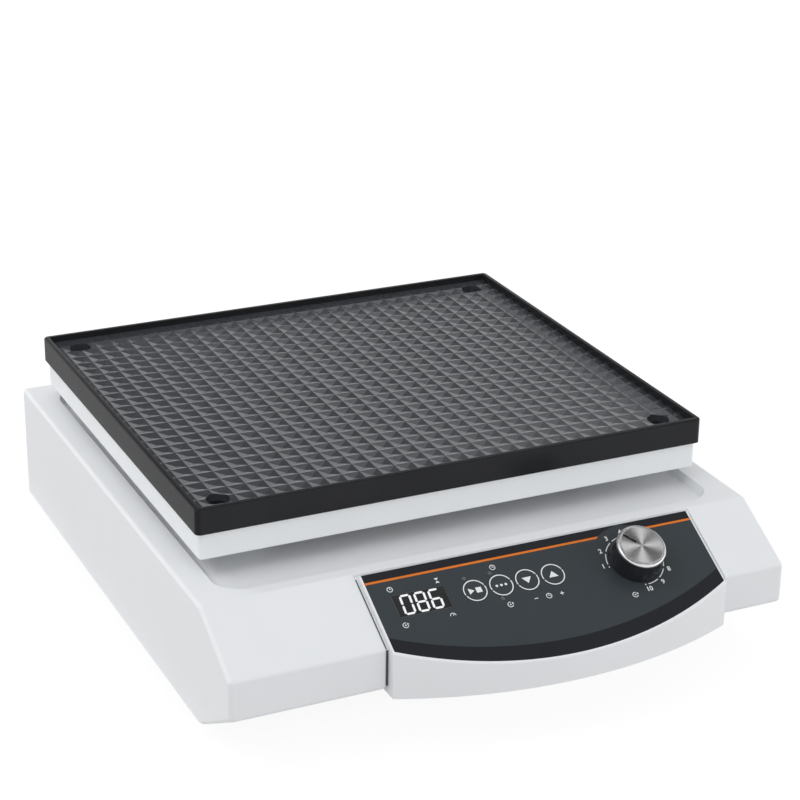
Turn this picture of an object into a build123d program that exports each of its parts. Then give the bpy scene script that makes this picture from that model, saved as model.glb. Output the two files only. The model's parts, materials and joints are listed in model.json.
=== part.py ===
from build123d import *
import os
from math import atan2, cos, degrees, pi, radians, sin, sqrt

# Orbital shaker for a laboratory bench, in millimetres. The origin is on the bench, under the
# middle of the whole instrument. +Z is up, the control console faces -Y, +X is to its right.

# Housing, seen from the side: a flat top, a sloping face, an upright front and an undercut
body_width = 320.0
body_depth = 350.0
console_reach = 25.0
foot_height = 12.0
undercut_rise = 23.6
face_rise = 22.1
slope_rise = 22.7
nose_run = 41.4
housing_wall = 3.0
housing_round = 2.5
bottom_plate = 2.0
plate_clearance = 0.5

# Shallow trough in the top, with a raised lip round each opening in its floor
trough_depth = 4.5
trough_side = 15.0
trough_back = 15.0
trough_front = 7.0
trough_corner = 15.0
trough_draft = 25.0
lip_height = 2.0
lip_wall = 2.0

# Orbit and drive
orbit_radius = 5.0
drive_from_back = 150.0
idler_x = 105.0
idler_y = 85.0
belt_centres = 100.0
running = 0.05
thrust_gap = 0.1

# Platform and tray
tray_width = 298.0
tray_depth = 265.4
tray_height = 14.4
tray_rim = 3.0
tray_floor = 2.5
tray_lap = 3.8
tray_corner = 3.0
tray_edge_round = 1.2
lap_clearance = 0.25
platform_gap = 6.9
skirt_height = 14.9
skirt_inset = 2.2
skirt_wall = 2.5
deck_thickness = 4.0
deck_rib = 3.0
deck_rib_depth = 9.0
accessory_pitch_x = 262.0
accessory_pitch_y = 232.0
accessory_radius = 6.0
accessory_clearance = 0.3
tray_screw_pitch_x = 190.0
tray_screw_pitch_y = 90.0

# Rubber mat moulded with square dimples
mat_thickness = 4.6
mat_clearance = 0.2
dimple_depth = 1.0
column_pitch = 10.1
row_pitch = 10.2
first_column = 4.0
first_row = 4.7

# Console on the sloping face
console_x = 23.0
console_width = 195.0
console_corner = 4.9
console_top_gap = 2.6
console_drop = 4.0
console_proud = 2.0
console_wall = 2.5
console_seat = 1.2
console_groove = 2.2
console_round = 1.0
console_margin = 7.0
console_lap = 8.4
film_thickness = 0.5
film_border = 1.0
film_clearance = 0.1

# What the face of the console carries, measured from its middle and down the slope
display_x = -71.0
display_s = 25.2
display_width = 30.2
display_height = 14.2
lens_clearance = 0.15
lens_flange = 1.0
lens_seat = 2.0
lens_set = 0.1
key_x = -40.8
key_s = 25.4
key_pitch = 15.1
key_radius = 6.6
key_clearance = 0.2
key_flange_radius = 7.2
key_flange = 0.8
key_proud = 0.2
key_stem_radius = 2.0
switch_plunger_radius = 1.6
switch_size = 6.0
switch_height = 4.3
switch_button = 0.8
switch_stroke = 0.6
led_radius = 1.2
led_stem_radius = 0.9
led_places = ((-43.7, 16.9), (-28.8, 16.9), (-28.2, 33.2))
knob_x = 53.0
knob_s = 27.0
knob_base_radius = 14.5
knob_top_radius = 13.4
knob_gap = 0.5
knob_height = 13.5
knob_wall = 1.6
cap_radius = 13.6
cap_thickness = 2.4
cap_round = 1.1
spindle_radius = 3.0
bushing_radius = 3.6

# Control board
board_depth = 9.5
module_gap = 0.1
board_corner = 2.0
board_thread = 5.0
board_thickness = 1.6
board_width = 168.0
board_top = 9.0
board_length = 38.0
board_post_inset = 4.0
board_post_radius = 3.0

# Machine screws: shank radius, head radius and head height
small_shank, small_head, small_head_height = 1.5, 2.8, 1.8
screw_shank, screw_head, screw_head_height = 2.0, 3.8, 2.2
screw_clearance = 0.15

# Levels and places worked out from the values above
overall_depth = body_depth + console_reach
back_y = overall_depth / 2
front_y = back_y - body_depth
shoulder_y = front_y + nose_run
edge_z = foot_height
face_low_z = edge_z + undercut_rise
face_high_z = face_low_z + face_rise
top_z = face_high_z + slope_rise
trough_z = top_z - trough_depth
ceiling_z = trough_z - housing_wall
lip_z = trough_z + lip_height
floor_z = edge_z + bottom_plate

drive_y = back_y - drive_from_back
platform_y = drive_y + orbit_radius
motor_y = drive_y - belt_centres
idler_places = [(sx * idler_x, drive_y + sy * idler_y) for sx in (-1, 1) for sy in (-1, 1)]

skirt_z = top_z + platform_gap
tray_z = skirt_z + skirt_height
deck_z = tray_z + tray_lap
tray_floor_z = deck_z + tray_floor
mat_top_z = tray_floor_z + mat_thickness

slope_angle = atan2(slope_rise, nose_run)
slope_normal = (0, -sin(slope_angle), cos(slope_angle))
slope_plane = Plane(origin=(console_x, shoulder_y, top_z), x_dir=(1, 0, 0), z_dir=slope_normal)
face_plane = slope_plane.offset(console_proud)
console_low_z = face_low_z - console_drop
console_back_y = shoulder_y - console_top_gap
console_corner_y = front_y - console_corner
console_apex_y = front_y - console_reach


def keep(piece, name):
    # Labels a finished piece and writes it under its own name
    piece.part.label = name
    export_step(piece.part, f"parts/{name}.step")


def turned(points, x=0.0, y=0.0):
    # A part turned about an upright axis at x, y from its half section in radius and height
    section = Plane(origin=(x, y, 0), x_dir=(1, 0, 0), z_dir=(0, -1, 0))
    with BuildPart() as piece:
        with BuildSketch(section):
            with BuildLine():
                Polyline(*points, close=True)
            make_face()
        revolve(axis=Axis((x, y, 0), (0, 0, 1)))
    return piece.part


def ring_points(outer, inner, low, high):
    # Half section of a plain ring
    return [(inner, low), (outer, low), (outer, high), (inner, high)]


def pan_screws(places, plane, shank, head, head_height, length):
    # Pan head screws whose heads sit on the plane, on its positive side
    with BuildPart() as screws:
        with BuildSketch(plane):
            with Locations(*places):
                Circle(head)
        extrude(amount=head_height)
        fillet(top_edges(screws, plane), head_height * 0.4)
        with BuildSketch(plane):
            with Locations(*places):
                Circle(shank)
        extrude(amount=-length)
        with BuildSketch(plane.offset(head_height)):
            with Locations(*places):
                RegularPolygon(shank * 0.75, 6)
        extrude(amount=-head_height * 0.6, mode=Mode.SUBTRACT)
    return screws


def top_edges(piece, plane):
    # Round edges furthest out along the plane's normal
    heights = [(plane.to_local_coords(edge.center()).Z, edge) for edge in piece.edges()]
    highest = max(height for height, edge in heights)
    return ShapeList([edge for height, edge in heights if height > highest - 0.001])


def side_outline(drop=0.0):
    # Corners of the housing's side view; drop carries its foot lines further down
    foot_run = nose_run / undercut_rise * drop
    return [
        (back_y, edge_z - drop),
        (back_y, top_z),
        (shoulder_y, top_z),
        (front_y, face_high_z),
        (front_y, face_low_z),
        (shoulder_y + foot_run, edge_z - drop),
    ]


def housing_core(inset, half_width):
    # The housing's form drawn in by an even amount, open below
    with BuildPart() as core:
        with BuildSketch(Plane.YZ):
            with BuildLine():
                Polyline(*side_outline(4 * housing_wall), close=True)
            make_face()
            offset(amount=-inset, kind=Kind.INTERSECTION)
        extrude(amount=half_width, both=True)
    return core.part


def console_outline(grow):
    # Plan of the console: straight sides and back, and a bowed front
    half = console_width / 2 + grow
    left, right = console_x - half, console_x + half
    back = console_back_y + grow
    corner = console_corner_y - grow
    with BuildSketch() as plan:
        with BuildLine():
            Polyline((left, corner), (left, back), (right, back), (right, corner))
            ThreePointArc((right, corner), (console_x, console_apex_y - grow), (left, corner))
        make_face()
    return plan.sketch


def above(plane, height=120.0):
    # A large block on one side of a plane, to cut with
    with BuildPart() as block:
        with BuildSketch(plane):
            Rectangle(3 * body_width, 3 * body_width)
        extrude(amount=height)
    return block.part


os.makedirs("parts", exist_ok=True)

# Housing: the outer form with rounded edges, used by the cover
with BuildPart() as housing_form:
    with BuildSketch(Plane.YZ):
        with BuildLine():
            Polyline(*side_outline(), close=True)
        make_face()
    extrude(amount=body_width / 2, both=True)
    fillet(housing_form.edges().filter_by(lambda edge: edge.center().Z > edge_z + 0.01), housing_round)

# Places of the cover's screw posts, beside the side walls
post_radius = 5.0
post_overlap = 0.5
post_front_inset = 16.0
post_back_gap = 3.0
post_x = body_width / 2 - housing_wall - post_radius + post_overlap
post_rows = (shoulder_y + post_front_inset, drive_y, back_y - housing_wall - post_radius - post_back_gap)
cover_posts = [(sx * post_x, y) for sx in (-1, 1) for y in post_rows]

trough_width = body_width - 2 * trough_side
trough_low_y = shoulder_y + trough_front
trough_high_y = back_y - trough_back
trough_middle_y = (trough_low_y + trough_high_y) / 2
trough_length = trough_high_y - trough_low_y
crank_opening = 22.0
shoulder_radius = 8.0
opening_room = 2.0
idler_opening = shoulder_radius + orbit_radius + opening_room

# Recessed service panel at the back, with the mains inlet and the power switch
service_x = -85.0
service_rise = 32.0
service_z = edge_z + service_rise
service_width = 92.0
service_height = 36.0
service_recess = 6.0
service_corner = 3.0
service_y = back_y - service_recess
inlet_shift, switch_shift = -15.0, 29.0
inlet_x = service_x + inlet_shift
switch_x = service_x + switch_shift
inlet_screw_pitch = 40.0
inlet_cut_width, inlet_cut_height = 27.4, 20.2
switch_cut_width, switch_cut_height = 13.2, 19.4

# Screws that hold the console go through the cover's front wall from inside
front_inside = Plane(origin=(0, front_y + housing_wall, 0), x_dir=(1, 0, 0), z_dir=(0, 1, 0))
fixing_pitch = 60.0
fixing_drop = 3.5
fixing_z = face_low_z + console_lap - fixing_drop
console_fixings = [(console_x + step * fixing_pitch, -fixing_z) for step in (-1, 0, 1)]
post_thread = 14.0

# Console plan pieces shared by the cover and the console
console_body = extrude(Plane.XY.offset(console_low_z) * console_outline(0), amount=top_z)
seat_core = housing_core(console_seat, body_width)

pocket_low = Plane.XY.offset(console_low_z - console_groove)
pocket_body = extrude(pocket_low * console_outline(console_groove), amount=top_z)

with BuildPart() as seat_pocket:
    add(pocket_body)
    add(seat_core, mode=Mode.SUBTRACT)

housing_hollow = housing_core(housing_wall, body_width / 2 - housing_wall)

with BuildPart() as base_cover:
    add(housing_form.part)
    add(housing_hollow, mode=Mode.SUBTRACT)
    with BuildSketch(Plane.XY.offset(ceiling_z)):
        with Locations((0, trough_middle_y)):
            RectangleRounded(trough_width + 2 * housing_wall, trough_length + 2 * housing_wall, trough_corner)
    extrude(amount=top_z - housing_wall / 2 - ceiling_z)
    with BuildSketch(Plane.XY.offset(floor_z)):
        with Locations(*cover_posts):
            Circle(post_radius)
    extrude(amount=top_z - housing_wall / 2 - floor_z)
    with BuildSketch(Plane.XZ.offset(-service_y)):
        with Locations((service_x, service_z)):
            Rectangle(service_width + 2 * housing_wall, service_height + 2 * housing_wall)
    extrude(amount=housing_wall)
    with BuildSketch(Plane.XZ.offset(-service_y)):
        with Locations((service_x, service_z)):
            Rectangle(service_width + 2 * housing_wall, service_height + 2 * housing_wall)
            RectangleRounded(service_width, service_height, service_corner, mode=Mode.SUBTRACT)
    extrude(amount=-(service_recess - housing_wall / 2))
    with BuildSketch(Plane.XZ.offset(-back_y)):
        with Locations((service_x, service_z)):
            RectangleRounded(service_width, service_height, service_corner)
    extrude(amount=service_recess, mode=Mode.SUBTRACT)
    with BuildSketch(Plane.XZ.offset(-back_y)):
        with Locations((inlet_x, service_z)):
            Rectangle(inlet_cut_width, inlet_cut_height)
        with Locations(*[(inlet_x + side * inlet_screw_pitch / 2, service_z) for side in (-1, 1)]):
            Circle(small_shank + screw_clearance)
        with Locations((switch_x, service_z)):
            Rectangle(switch_cut_width, switch_cut_height)
    extrude(amount=service_recess + 2 * housing_wall, mode=Mode.SUBTRACT)
    with BuildSketch(Plane.XY.offset(top_z)):
        with Locations((0, trough_middle_y)):
            RectangleRounded(trough_width, trough_length, trough_corner)
    extrude(amount=-trough_depth, taper=trough_draft, mode=Mode.SUBTRACT)
    with BuildSketch(Plane.XY.offset(trough_z)):
        with Locations((0, drive_y)):
            Circle(crank_opening + lip_wall)
        with Locations(*idler_places):
            Circle(idler_opening + lip_wall)
    extrude(amount=lip_height)
    with BuildSketch(Plane.XY.offset(lip_z)):
        with Locations((0, drive_y)):
            Circle(crank_opening)
        with Locations(*idler_places):
            Circle(idler_opening)
    extrude(amount=-(lip_z - ceiling_z), mode=Mode.SUBTRACT)
    add(seat_pocket.part, mode=Mode.SUBTRACT)
    with BuildSketch(Plane.XY.offset(face_low_z + console_lap)):
        with Locations((console_x, (front_y + shoulder_y - console_margin) / 2)):
            Rectangle(console_width - 2 * console_margin, nose_run - console_margin + 2)
    extrude(amount=top_z, mode=Mode.SUBTRACT)
    with BuildSketch(Plane.XY.offset(floor_z)):
        with Locations(*cover_posts):
            Circle(screw_shank + running)
    extrude(amount=post_thread, mode=Mode.SUBTRACT)
    with BuildSketch(front_inside):
        with Locations(*console_fixings):
            Circle(small_shank + screw_clearance)
    extrude(amount=-2 * housing_wall, mode=Mode.SUBTRACT)
keep(base_cover, "base_cover")

# Bottom plate with cooling slots, feet and the screws under it
undercut_angle = atan2(undercut_rise, nose_run)
plate_low_y = shoulder_y + housing_wall / sin(undercut_angle) + plate_clearance
plate_high_y = back_y - housing_wall - plate_clearance
plate_y = (plate_low_y + plate_high_y) / 2
plate_width = body_width - 2 * (housing_wall + plate_clearance)
plate_corner = 2.0
vent_x, vent_shift = 70.0, 10.0
vent_pitch, vent_count = 9.0, 6
vent_length, vent_width = 52.0, 4.0

foot_inset_x = 45.0
foot_inset_y = 22.0
foot_bottom_radius = 9.5
foot_draft = 7.0
foot_recess_radius = 5.2
foot_recess = 7.0
foot_round = 1.0
collar_radius = 4.5
collar_height = 4.0
foot_x = body_width / 2 - foot_inset_x
feet_places = [(sx * foot_x, y) for sx in (-1, 1) for y in (shoulder_y + foot_inset_x, back_y - foot_inset_y)]

# Drive frame: a steel plate on posts, level with the middle of the housing
chassis_gap = 30.0
chassis_thickness = 4.0
chassis_width = 250.0
chassis_front = 42.5
chassis_back = 112.5
chassis_z = floor_z + chassis_gap
chassis_top_z = chassis_z + chassis_thickness
chassis_low_y = motor_y - chassis_front
chassis_high_y = drive_y + chassis_back
chassis_y = (chassis_low_y + chassis_high_y) / 2
chassis_post_radius = 5.5
chassis_post_inset = 8.0
chassis_corner = 8.0
window_x, window_shift = 70.0, 28.0
window_width, window_length = 44.0, 66.0
chassis_rows = (chassis_low_y + chassis_post_inset, chassis_y, chassis_high_y - chassis_post_inset)
chassis_places = [(sx * (chassis_width / 2 - chassis_post_inset), y) for sx in (-1, 1) for y in chassis_rows]

with BuildPart() as base_plate:
    with BuildSketch(Plane.XY.offset(edge_z)):
        with Locations((0, plate_y)):
            RectangleRounded(plate_width, plate_high_y - plate_low_y, plate_corner)
        with Locations(*cover_posts, *chassis_places, *feet_places):
            Circle(screw_shank + screw_clearance, mode=Mode.SUBTRACT)
        with Locations((-vent_x, motor_y + vent_shift), (vent_x, motor_y + vent_shift)):
            with GridLocations(0, vent_pitch, 1, vent_count):
                SlotOverall(vent_length, vent_width, mode=Mode.SUBTRACT)
    extrude(amount=bottom_plate)
    with BuildSketch(Plane.XY.offset(floor_z)):
        with Locations(*feet_places):
            Circle(collar_radius)
            Circle(screw_shank + running, mode=Mode.SUBTRACT)
    extrude(amount=collar_height)
keep(base_plate, "base_plate")

with BuildPart() as feet:
    with BuildSketch(Plane.XY):
        with Locations(*feet_places):
            Circle(foot_bottom_radius)
    extrude(amount=foot_height, taper=-foot_draft)
    fillet(feet.edges().group_by(Axis.Z)[0], foot_round)
    with BuildSketch(Plane.XY):
        with Locations(*feet_places):
            Circle(foot_recess_radius)
    extrude(amount=foot_recess, mode=Mode.SUBTRACT)
    with BuildSketch(Plane.XY):
        with Locations(*feet_places):
            Circle(screw_shank + screw_clearance)
    extrude(amount=foot_height, mode=Mode.SUBTRACT)
keep(feet, "feet")


def facing_down(z):
    # A level plane that looks down; its own y runs towards -Y
    return Plane(origin=(0, 0, z), x_dir=(1, 0, 0), z_dir=(0, 0, -1))


def flipped(places):
    # Places for a plane that looks down
    return [(x, -y) for x, y in places]


screw_past = 1.0
foot_screw_length = foot_height - foot_recess + bottom_plate + collar_height + screw_past
foot_screws = pan_screws(
    flipped(feet_places), facing_down(foot_recess), screw_shank, screw_head, screw_head_height,
    foot_screw_length
)
keep(foot_screws, "foot_screws")

plate_screw_length = 11.0
plate_screws = pan_screws(
    flipped(cover_posts + chassis_places), facing_down(edge_z), screw_shank, screw_head, screw_head_height,
    plate_screw_length
)
keep(plate_screws, "plate_screws")

with BuildPart() as chassis_posts:
    with BuildSketch(Plane.XY.offset(floor_z)):
        with Locations(*chassis_places):
            Circle(chassis_post_radius)
            Circle(screw_shank + running, mode=Mode.SUBTRACT)
    extrude(amount=chassis_gap)
keep(chassis_posts, "chassis_posts")

# Main bearing housing under the frame, with two sealed ball bearings
bearing_outer = 17.5
bearing_inner = 8.5
bearing_race = 11.5
bearing_height = 10.0
bearing_set = 1.0
ring_face = 3.0
seal_set = 0.4
seal_gap = 0.1
snug = 0.02
barrel_wall = 4.5
barrel_radius = bearing_outer + barrel_wall
barrel_depth = 26.0
barrel_lip = 2.0
flange_radius = 31.5
flange_thickness = 4.0
flange_screw_radius = 26.8
barrel_low_z = chassis_z - barrel_depth
upper_bearing_z = chassis_top_z - bearing_set - bearing_height
lower_bearing_z = barrel_low_z + bearing_set
main_bearing_levels = (lower_bearing_z, upper_bearing_z)
barrel_clearance = 0.1

main_bearing_housing_part = turned(
    [
        (bearing_outer + snug, barrel_low_z),
        (barrel_radius, barrel_low_z),
        (barrel_radius, chassis_z - flange_thickness),
        (flange_radius, chassis_z - flange_thickness),
        (flange_radius, chassis_z),
        (barrel_radius, chassis_z),
        (barrel_radius, chassis_top_z),
        (bearing_outer + snug, chassis_top_z),
        (bearing_outer + snug, upper_bearing_z),
        (bearing_outer - barrel_lip, upper_bearing_z),
        (bearing_outer - barrel_lip, lower_bearing_z + bearing_height),
        (bearing_outer + snug, lower_bearing_z + bearing_height),
    ],
    0,
    drive_y,
)
flange_reach = flange_screw_radius * sqrt(0.5)
flange_screws = [(sx * flange_reach, drive_y + sy * flange_reach) for sx in (-1, 1) for sy in (-1, 1)]
with BuildPart() as main_bearing_housing:
    add(main_bearing_housing_part)
    with BuildSketch(Plane.XY.offset(chassis_z - flange_thickness)):
        with Locations(*flange_screws):
            Circle(screw_shank + running)
    extrude(amount=flange_thickness, mode=Mode.SUBTRACT)
keep(main_bearing_housing, "main_bearing_housing")


def outer_ring(x, y, z):
    # Outer ring of a sealed bearing, its two seals set in slightly from the faces
    inner_edge = bearing_race + seal_gap
    return turned(
        [
            (bearing_outer, z),
            (bearing_outer, z + bearing_height),
            (bearing_outer - ring_face, z + bearing_height),
            (bearing_outer - ring_face, z + bearing_height - seal_set),
            (inner_edge, z + bearing_height - seal_set),
            (inner_edge, z + seal_set),
            (bearing_outer - ring_face, z + seal_set),
            (bearing_outer - ring_face, z),
        ],
        x,
        y,
    )


def inner_ring(x, y, z):
    # Inner ring of the same bearing
    return turned(ring_points(bearing_race, bearing_inner + snug, z, z + bearing_height), x, y)


main_outer_parts = [outer_ring(0, drive_y, z) for z in main_bearing_levels]
with BuildPart() as main_outer_rings:
    add(main_outer_parts)
keep(main_outer_rings, "main_outer_rings")

# Supporting cranks: flanged housings on the frame, each with a bronze bush
idler_journal = 6.0
bush_wall = 2.0
bush_flange_radius = 10.5
bush_flange = 1.0
idler_barrel_radius = 11.0
idler_flange_radius = 17.0
idler_flange = 4.0
idler_barrel_step = 1.0
crank_disc = 4.9
disc_gap = 1.1
disc_top_z = ceiling_z - disc_gap
disc_low_z = disc_top_z - crank_disc
bush_top_z = disc_low_z - thrust_gap
idler_barrel_top_z = bush_top_z - bush_flange
bush_radius = idler_journal + running + bush_wall
bush_length = 20.0

idler_screw_radius = 13.9
idler_screws = [(x + side * idler_screw_radius, y) for x, y in idler_places for side in (-1, 1)]
idler_housing_parts = [
    turned(
        [
            (bush_radius + snug, chassis_z),
            (idler_barrel_radius, chassis_z),
            (idler_barrel_radius, chassis_top_z),
            (idler_flange_radius, chassis_top_z),
            (idler_flange_radius, chassis_top_z + idler_flange),
            (idler_barrel_radius - idler_barrel_step, chassis_top_z + idler_flange),
            (idler_barrel_radius - idler_barrel_step, idler_barrel_top_z),
            (bush_radius + snug, idler_barrel_top_z),
        ],
        x,
        y,
    )
    for x, y in idler_places
]
with BuildPart() as idler_housings:
    add(idler_housing_parts)
    with BuildSketch(Plane.XY.offset(chassis_top_z)):
        with Locations(*idler_screws):
            Circle(small_shank + screw_clearance)
    extrude(amount=idler_flange, mode=Mode.SUBTRACT)
keep(idler_housings, "idler_housings")


def bush(x, y, flange_low_z, sleeve_z):
    # Flanged bush: a thin flange, and a sleeve that runs from it to sleeve_z
    flange_high_z = flange_low_z + bush_flange
    bore = idler_journal + running
    start_z = flange_high_z if sleeve_z > flange_low_z else flange_low_z
    end_z = flange_low_z if sleeve_z > flange_low_z else flange_high_z
    return turned(
        [
            (bore, end_z),
            (bush_flange_radius, end_z),
            (bush_flange_radius, start_z),
            (bush_radius, start_z),
            (bush_radius, sleeve_z),
            (bore, sleeve_z),
        ],
        x,
        y,
    )


lower_bush_parts = [bush(x, y, idler_barrel_top_z, idler_barrel_top_z - bush_length) for x, y in idler_places]
with BuildPart() as idler_lower_bushes:
    add(lower_bush_parts)
keep(idler_lower_bushes, "idler_lower_bushes")

# Motor hung under the frame, its shaft up through it
motor_radius = 34.0
motor_length = 27.0
motor_cap_step = 3.0
motor_pilot_radius = 11.0
motor_pilot = 3.0
motor_shaft_radius = 4.0
motor_screw_radius = 25.0
motor_shaft_depth = 5.0
motor_edge = 1.0
motor_thread = 8.0
motor_plug_width, motor_plug_length = 16.0, 10.0
motor_plug_height = 8.0
motor_plug_reach = 2.0
motor_low_z = chassis_z - motor_length
motor_reach = motor_screw_radius * sqrt(0.5)
motor_screws = [(sx * motor_reach, motor_y + sy * motor_reach) for sx in (-1, 1) for sy in (-1, 1)]
motor_form = turned(
    [
        (0, motor_low_z),
        (motor_radius - motor_cap_step, motor_low_z),
        (motor_radius - motor_cap_step, motor_low_z + motor_cap_step),
        (motor_radius, motor_low_z + 2 * motor_cap_step),
        (motor_radius, chassis_z - motor_cap_step),
        (motor_radius - motor_edge, chassis_z),
        (motor_pilot_radius, chassis_z),
        (motor_pilot_radius, chassis_z + motor_pilot),
        (motor_shaft_radius + running, chassis_z + motor_pilot),
        (motor_shaft_radius + running, chassis_z - motor_shaft_depth),
        (0, chassis_z - motor_shaft_depth),
    ],
    0,
    motor_y,
)
with BuildPart() as motor_body:
    add(motor_form)
    with BuildSketch(Plane.XY.offset(chassis_z)):
        with Locations(*motor_screws):
            Circle(screw_shank + running)
    extrude(amount=-motor_thread, mode=Mode.SUBTRACT)
    with BuildSketch(Plane.XY.offset(motor_low_z + 2 * motor_cap_step)):
        with Locations((0, motor_y + motor_radius + motor_plug_reach)):
            Rectangle(motor_plug_width, motor_plug_length)
    extrude(amount=motor_plug_height)
keep(motor_body, "motor_body")

with BuildPart() as chassis_plate:
    with BuildSketch(Plane.XY.offset(chassis_z)):
        with Locations((0, chassis_y)):
            RectangleRounded(chassis_width, chassis_high_y - chassis_low_y, chassis_corner)
        with Locations((0, drive_y)):
            Circle(barrel_radius + barrel_clearance, mode=Mode.SUBTRACT)
        with Locations((0, motor_y)):
            Circle(motor_pilot_radius + barrel_clearance, mode=Mode.SUBTRACT)
        with Locations(*idler_places):
            Circle(idler_barrel_radius + barrel_clearance, mode=Mode.SUBTRACT)
        with Locations(*chassis_places, *flange_screws, *motor_screws):
            Circle(screw_shank + screw_clearance, mode=Mode.SUBTRACT)
        with Locations(*idler_screws):
            Circle(small_shank + running, mode=Mode.SUBTRACT)
        with Locations((-window_x, drive_y - window_shift), (window_x, drive_y - window_shift)):
            RectangleRounded(window_width, window_length, chassis_corner, mode=Mode.SUBTRACT)
    extrude(amount=chassis_thickness)
keep(chassis_plate, "chassis_plate")

chassis_screw_length = 8.0
chassis_screws = pan_screws(
    chassis_places + flange_screws + motor_screws, Plane.XY.offset(chassis_top_z), screw_shank, screw_head,
    screw_head_height, chassis_screw_length
)
keep(chassis_screws, "chassis_screws")

idler_housing_screws = pan_screws(
    idler_screws, Plane.XY.offset(chassis_top_z + idler_flange), small_shank, small_head, small_head_height,
    idler_flange + chassis_thickness
)
keep(idler_housing_screws, "idler_housing_screws")

# Pulleys for a ribbed belt, and the belt round them
pulley_radius = 48.0
motor_pulley_radius = 16.0
pulley_gap = 3.0
pulley_edge = 1.0
pulley_rim = 5.0
pulley_hub = 18.0
pulley_web = 4.0
pulley_hole_radius, pulley_holes = 8.5, 6
rib_count = 5
rib_pitch = 1.8
rib_depth = 1.1
belt_thickness = 2.0
belt_guide = 3.0
belt_width = rib_count * rib_pitch
pulley_height = belt_width + 2 * pulley_edge
pulley_z = chassis_top_z + pulley_gap
pulley_top_z = pulley_z + pulley_height
belt_z = pulley_z + pulley_edge


def ribbed(radius, low, high):
    # Outer edge of a pulley, with a V groove for each rib of the belt
    points = [(radius, low), (radius, belt_z)]
    for rib in range(rib_count):
        valley_z = belt_z + (rib + 0.5) * rib_pitch
        points += [(radius - rib_depth, valley_z), (radius, valley_z + rib_pitch / 2)]
    return points + [(radius, high)]


def belt_loop(extra):
    # The way round both pulleys, taken out from their rims by an even amount
    big, small = pulley_radius + extra, motor_pulley_radius + extra
    lean = (motor_pulley_radius - pulley_radius) / belt_centres
    wide = sqrt(1 - lean**2)
    high_right, high_left = (big * wide, drive_y + big * lean), (-big * wide, drive_y + big * lean)
    low_right, low_left = (small * wide, motor_y + small * lean), (-small * wide, motor_y + small * lean)
    with BuildSketch() as loop:
        with BuildLine():
            ThreePointArc(high_right, (0, drive_y + big), high_left)
            Line(high_left, low_left)
            ThreePointArc(low_left, (0, motor_y - small), low_right)
            Line(low_right, high_right)
        make_face()
    return loop.sketch


belt_outside, belt_inside = belt_loop(running + belt_thickness), belt_loop(running)
with BuildPart() as drive_belt:
    with BuildSketch(Plane.XY.offset(belt_z)):
        add(belt_outside)
        add(belt_inside, mode=Mode.SUBTRACT)
    extrude(amount=belt_width)
keep(drive_belt, "drive_belt")

# Crankshaft: lower journal in the main bearings, eccentric pin in the platform's bearing
shaft_seat = 11.0
shaft_tail = 2.0
pin_end = 1.0
crank_flange_radius = 20.0
crank_flange = 3.0
counterweight_radius = 58.0
counterweight_thickness = 6.0
counterweight_gap = 0.5
circlip_radius = 10.6
circlip_thickness = 1.1
circlip_groove = 0.6
circlip_gap = 6.0
boss_gap = 1.6
boss_low_z = lip_z + boss_gap
pin_bearing_z = boss_low_z + bearing_set
pin_bearing_top_z = pin_bearing_z + bearing_height
pin_top_z = pin_bearing_top_z + circlip_thickness + pin_end
shaft_shoulder_z = upper_bearing_z + bearing_height
counterweight_z = pulley_top_z + counterweight_gap
crank_flange_z = counterweight_z + counterweight_thickness
crank_flange_top_z = crank_flange_z + crank_flange
groove_radius = bearing_inner - circlip_groove
lower_clip_z = lower_bearing_z - circlip_thickness

crank_lower = turned(
    [
        (0, lower_clip_z - shaft_tail),
        (bearing_inner, lower_clip_z - shaft_tail),
        (bearing_inner, lower_clip_z),
        (groove_radius, lower_clip_z),
        (groove_radius, lower_bearing_z),
        (bearing_inner, lower_bearing_z),
        (bearing_inner, shaft_shoulder_z),
        (shaft_seat, shaft_shoulder_z),
        (shaft_seat, crank_flange_z),
        (crank_flange_radius, crank_flange_z),
        (crank_flange_radius, crank_flange_top_z),
        (0, crank_flange_top_z),
    ],
    0,
    drive_y,
)
crank_pin = turned(
    [
        (0, crank_flange_top_z),
        (shaft_seat, crank_flange_top_z),
        (shaft_seat, pin_bearing_z),
        (bearing_inner, pin_bearing_z),
        (bearing_inner, pin_bearing_top_z),
        (groove_radius, pin_bearing_top_z),
        (groove_radius, pin_bearing_top_z + circlip_thickness),
        (bearing_inner, pin_bearing_top_z + circlip_thickness),
        (bearing_inner, pin_top_z),
        (0, pin_top_z),
    ],
    0,
    platform_y,
)
weight_edge = 6.0
weight_screw_x, weight_screw_inset = 7.0, 15.5
weight_screw_head_height = 1.0
weight_screws = [(side * weight_screw_x, drive_y - weight_screw_inset) for side in (-1, 1)]
with BuildPart() as crankshaft:
    add(crank_lower)
    add(crank_pin)
    with BuildSketch(Plane.XY.offset(crank_flange_z)):
        with Locations(*weight_screws):
            Circle(small_shank + screw_clearance)
    extrude(amount=crank_flange, mode=Mode.SUBTRACT)
keep(crankshaft, "crankshaft")

with BuildPart() as counterweight:
    with BuildSketch(Plane.XY.offset(counterweight_z)):
        with Locations((0, drive_y)):
            Circle(counterweight_radius)
        with Locations((0, drive_y + counterweight_radius + weight_edge)):
            Rectangle(4 * counterweight_radius, 2 * counterweight_radius, mode=Mode.SUBTRACT)
        with Locations((0, drive_y)):
            Circle(crank_flange_radius)
            Circle(shaft_seat + snug, mode=Mode.SUBTRACT)
        with Locations(*weight_screws):
            Circle(small_shank + running, mode=Mode.SUBTRACT)
    extrude(amount=counterweight_thickness)
keep(counterweight, "counterweight")

counterweight_screws = pan_screws(
    weight_screws, Plane.XY.offset(crank_flange_top_z), small_shank, small_head, weight_screw_head_height,
    crank_flange + counterweight_thickness - screw_past
)
keep(counterweight_screws, "counterweight_screws")

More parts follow.
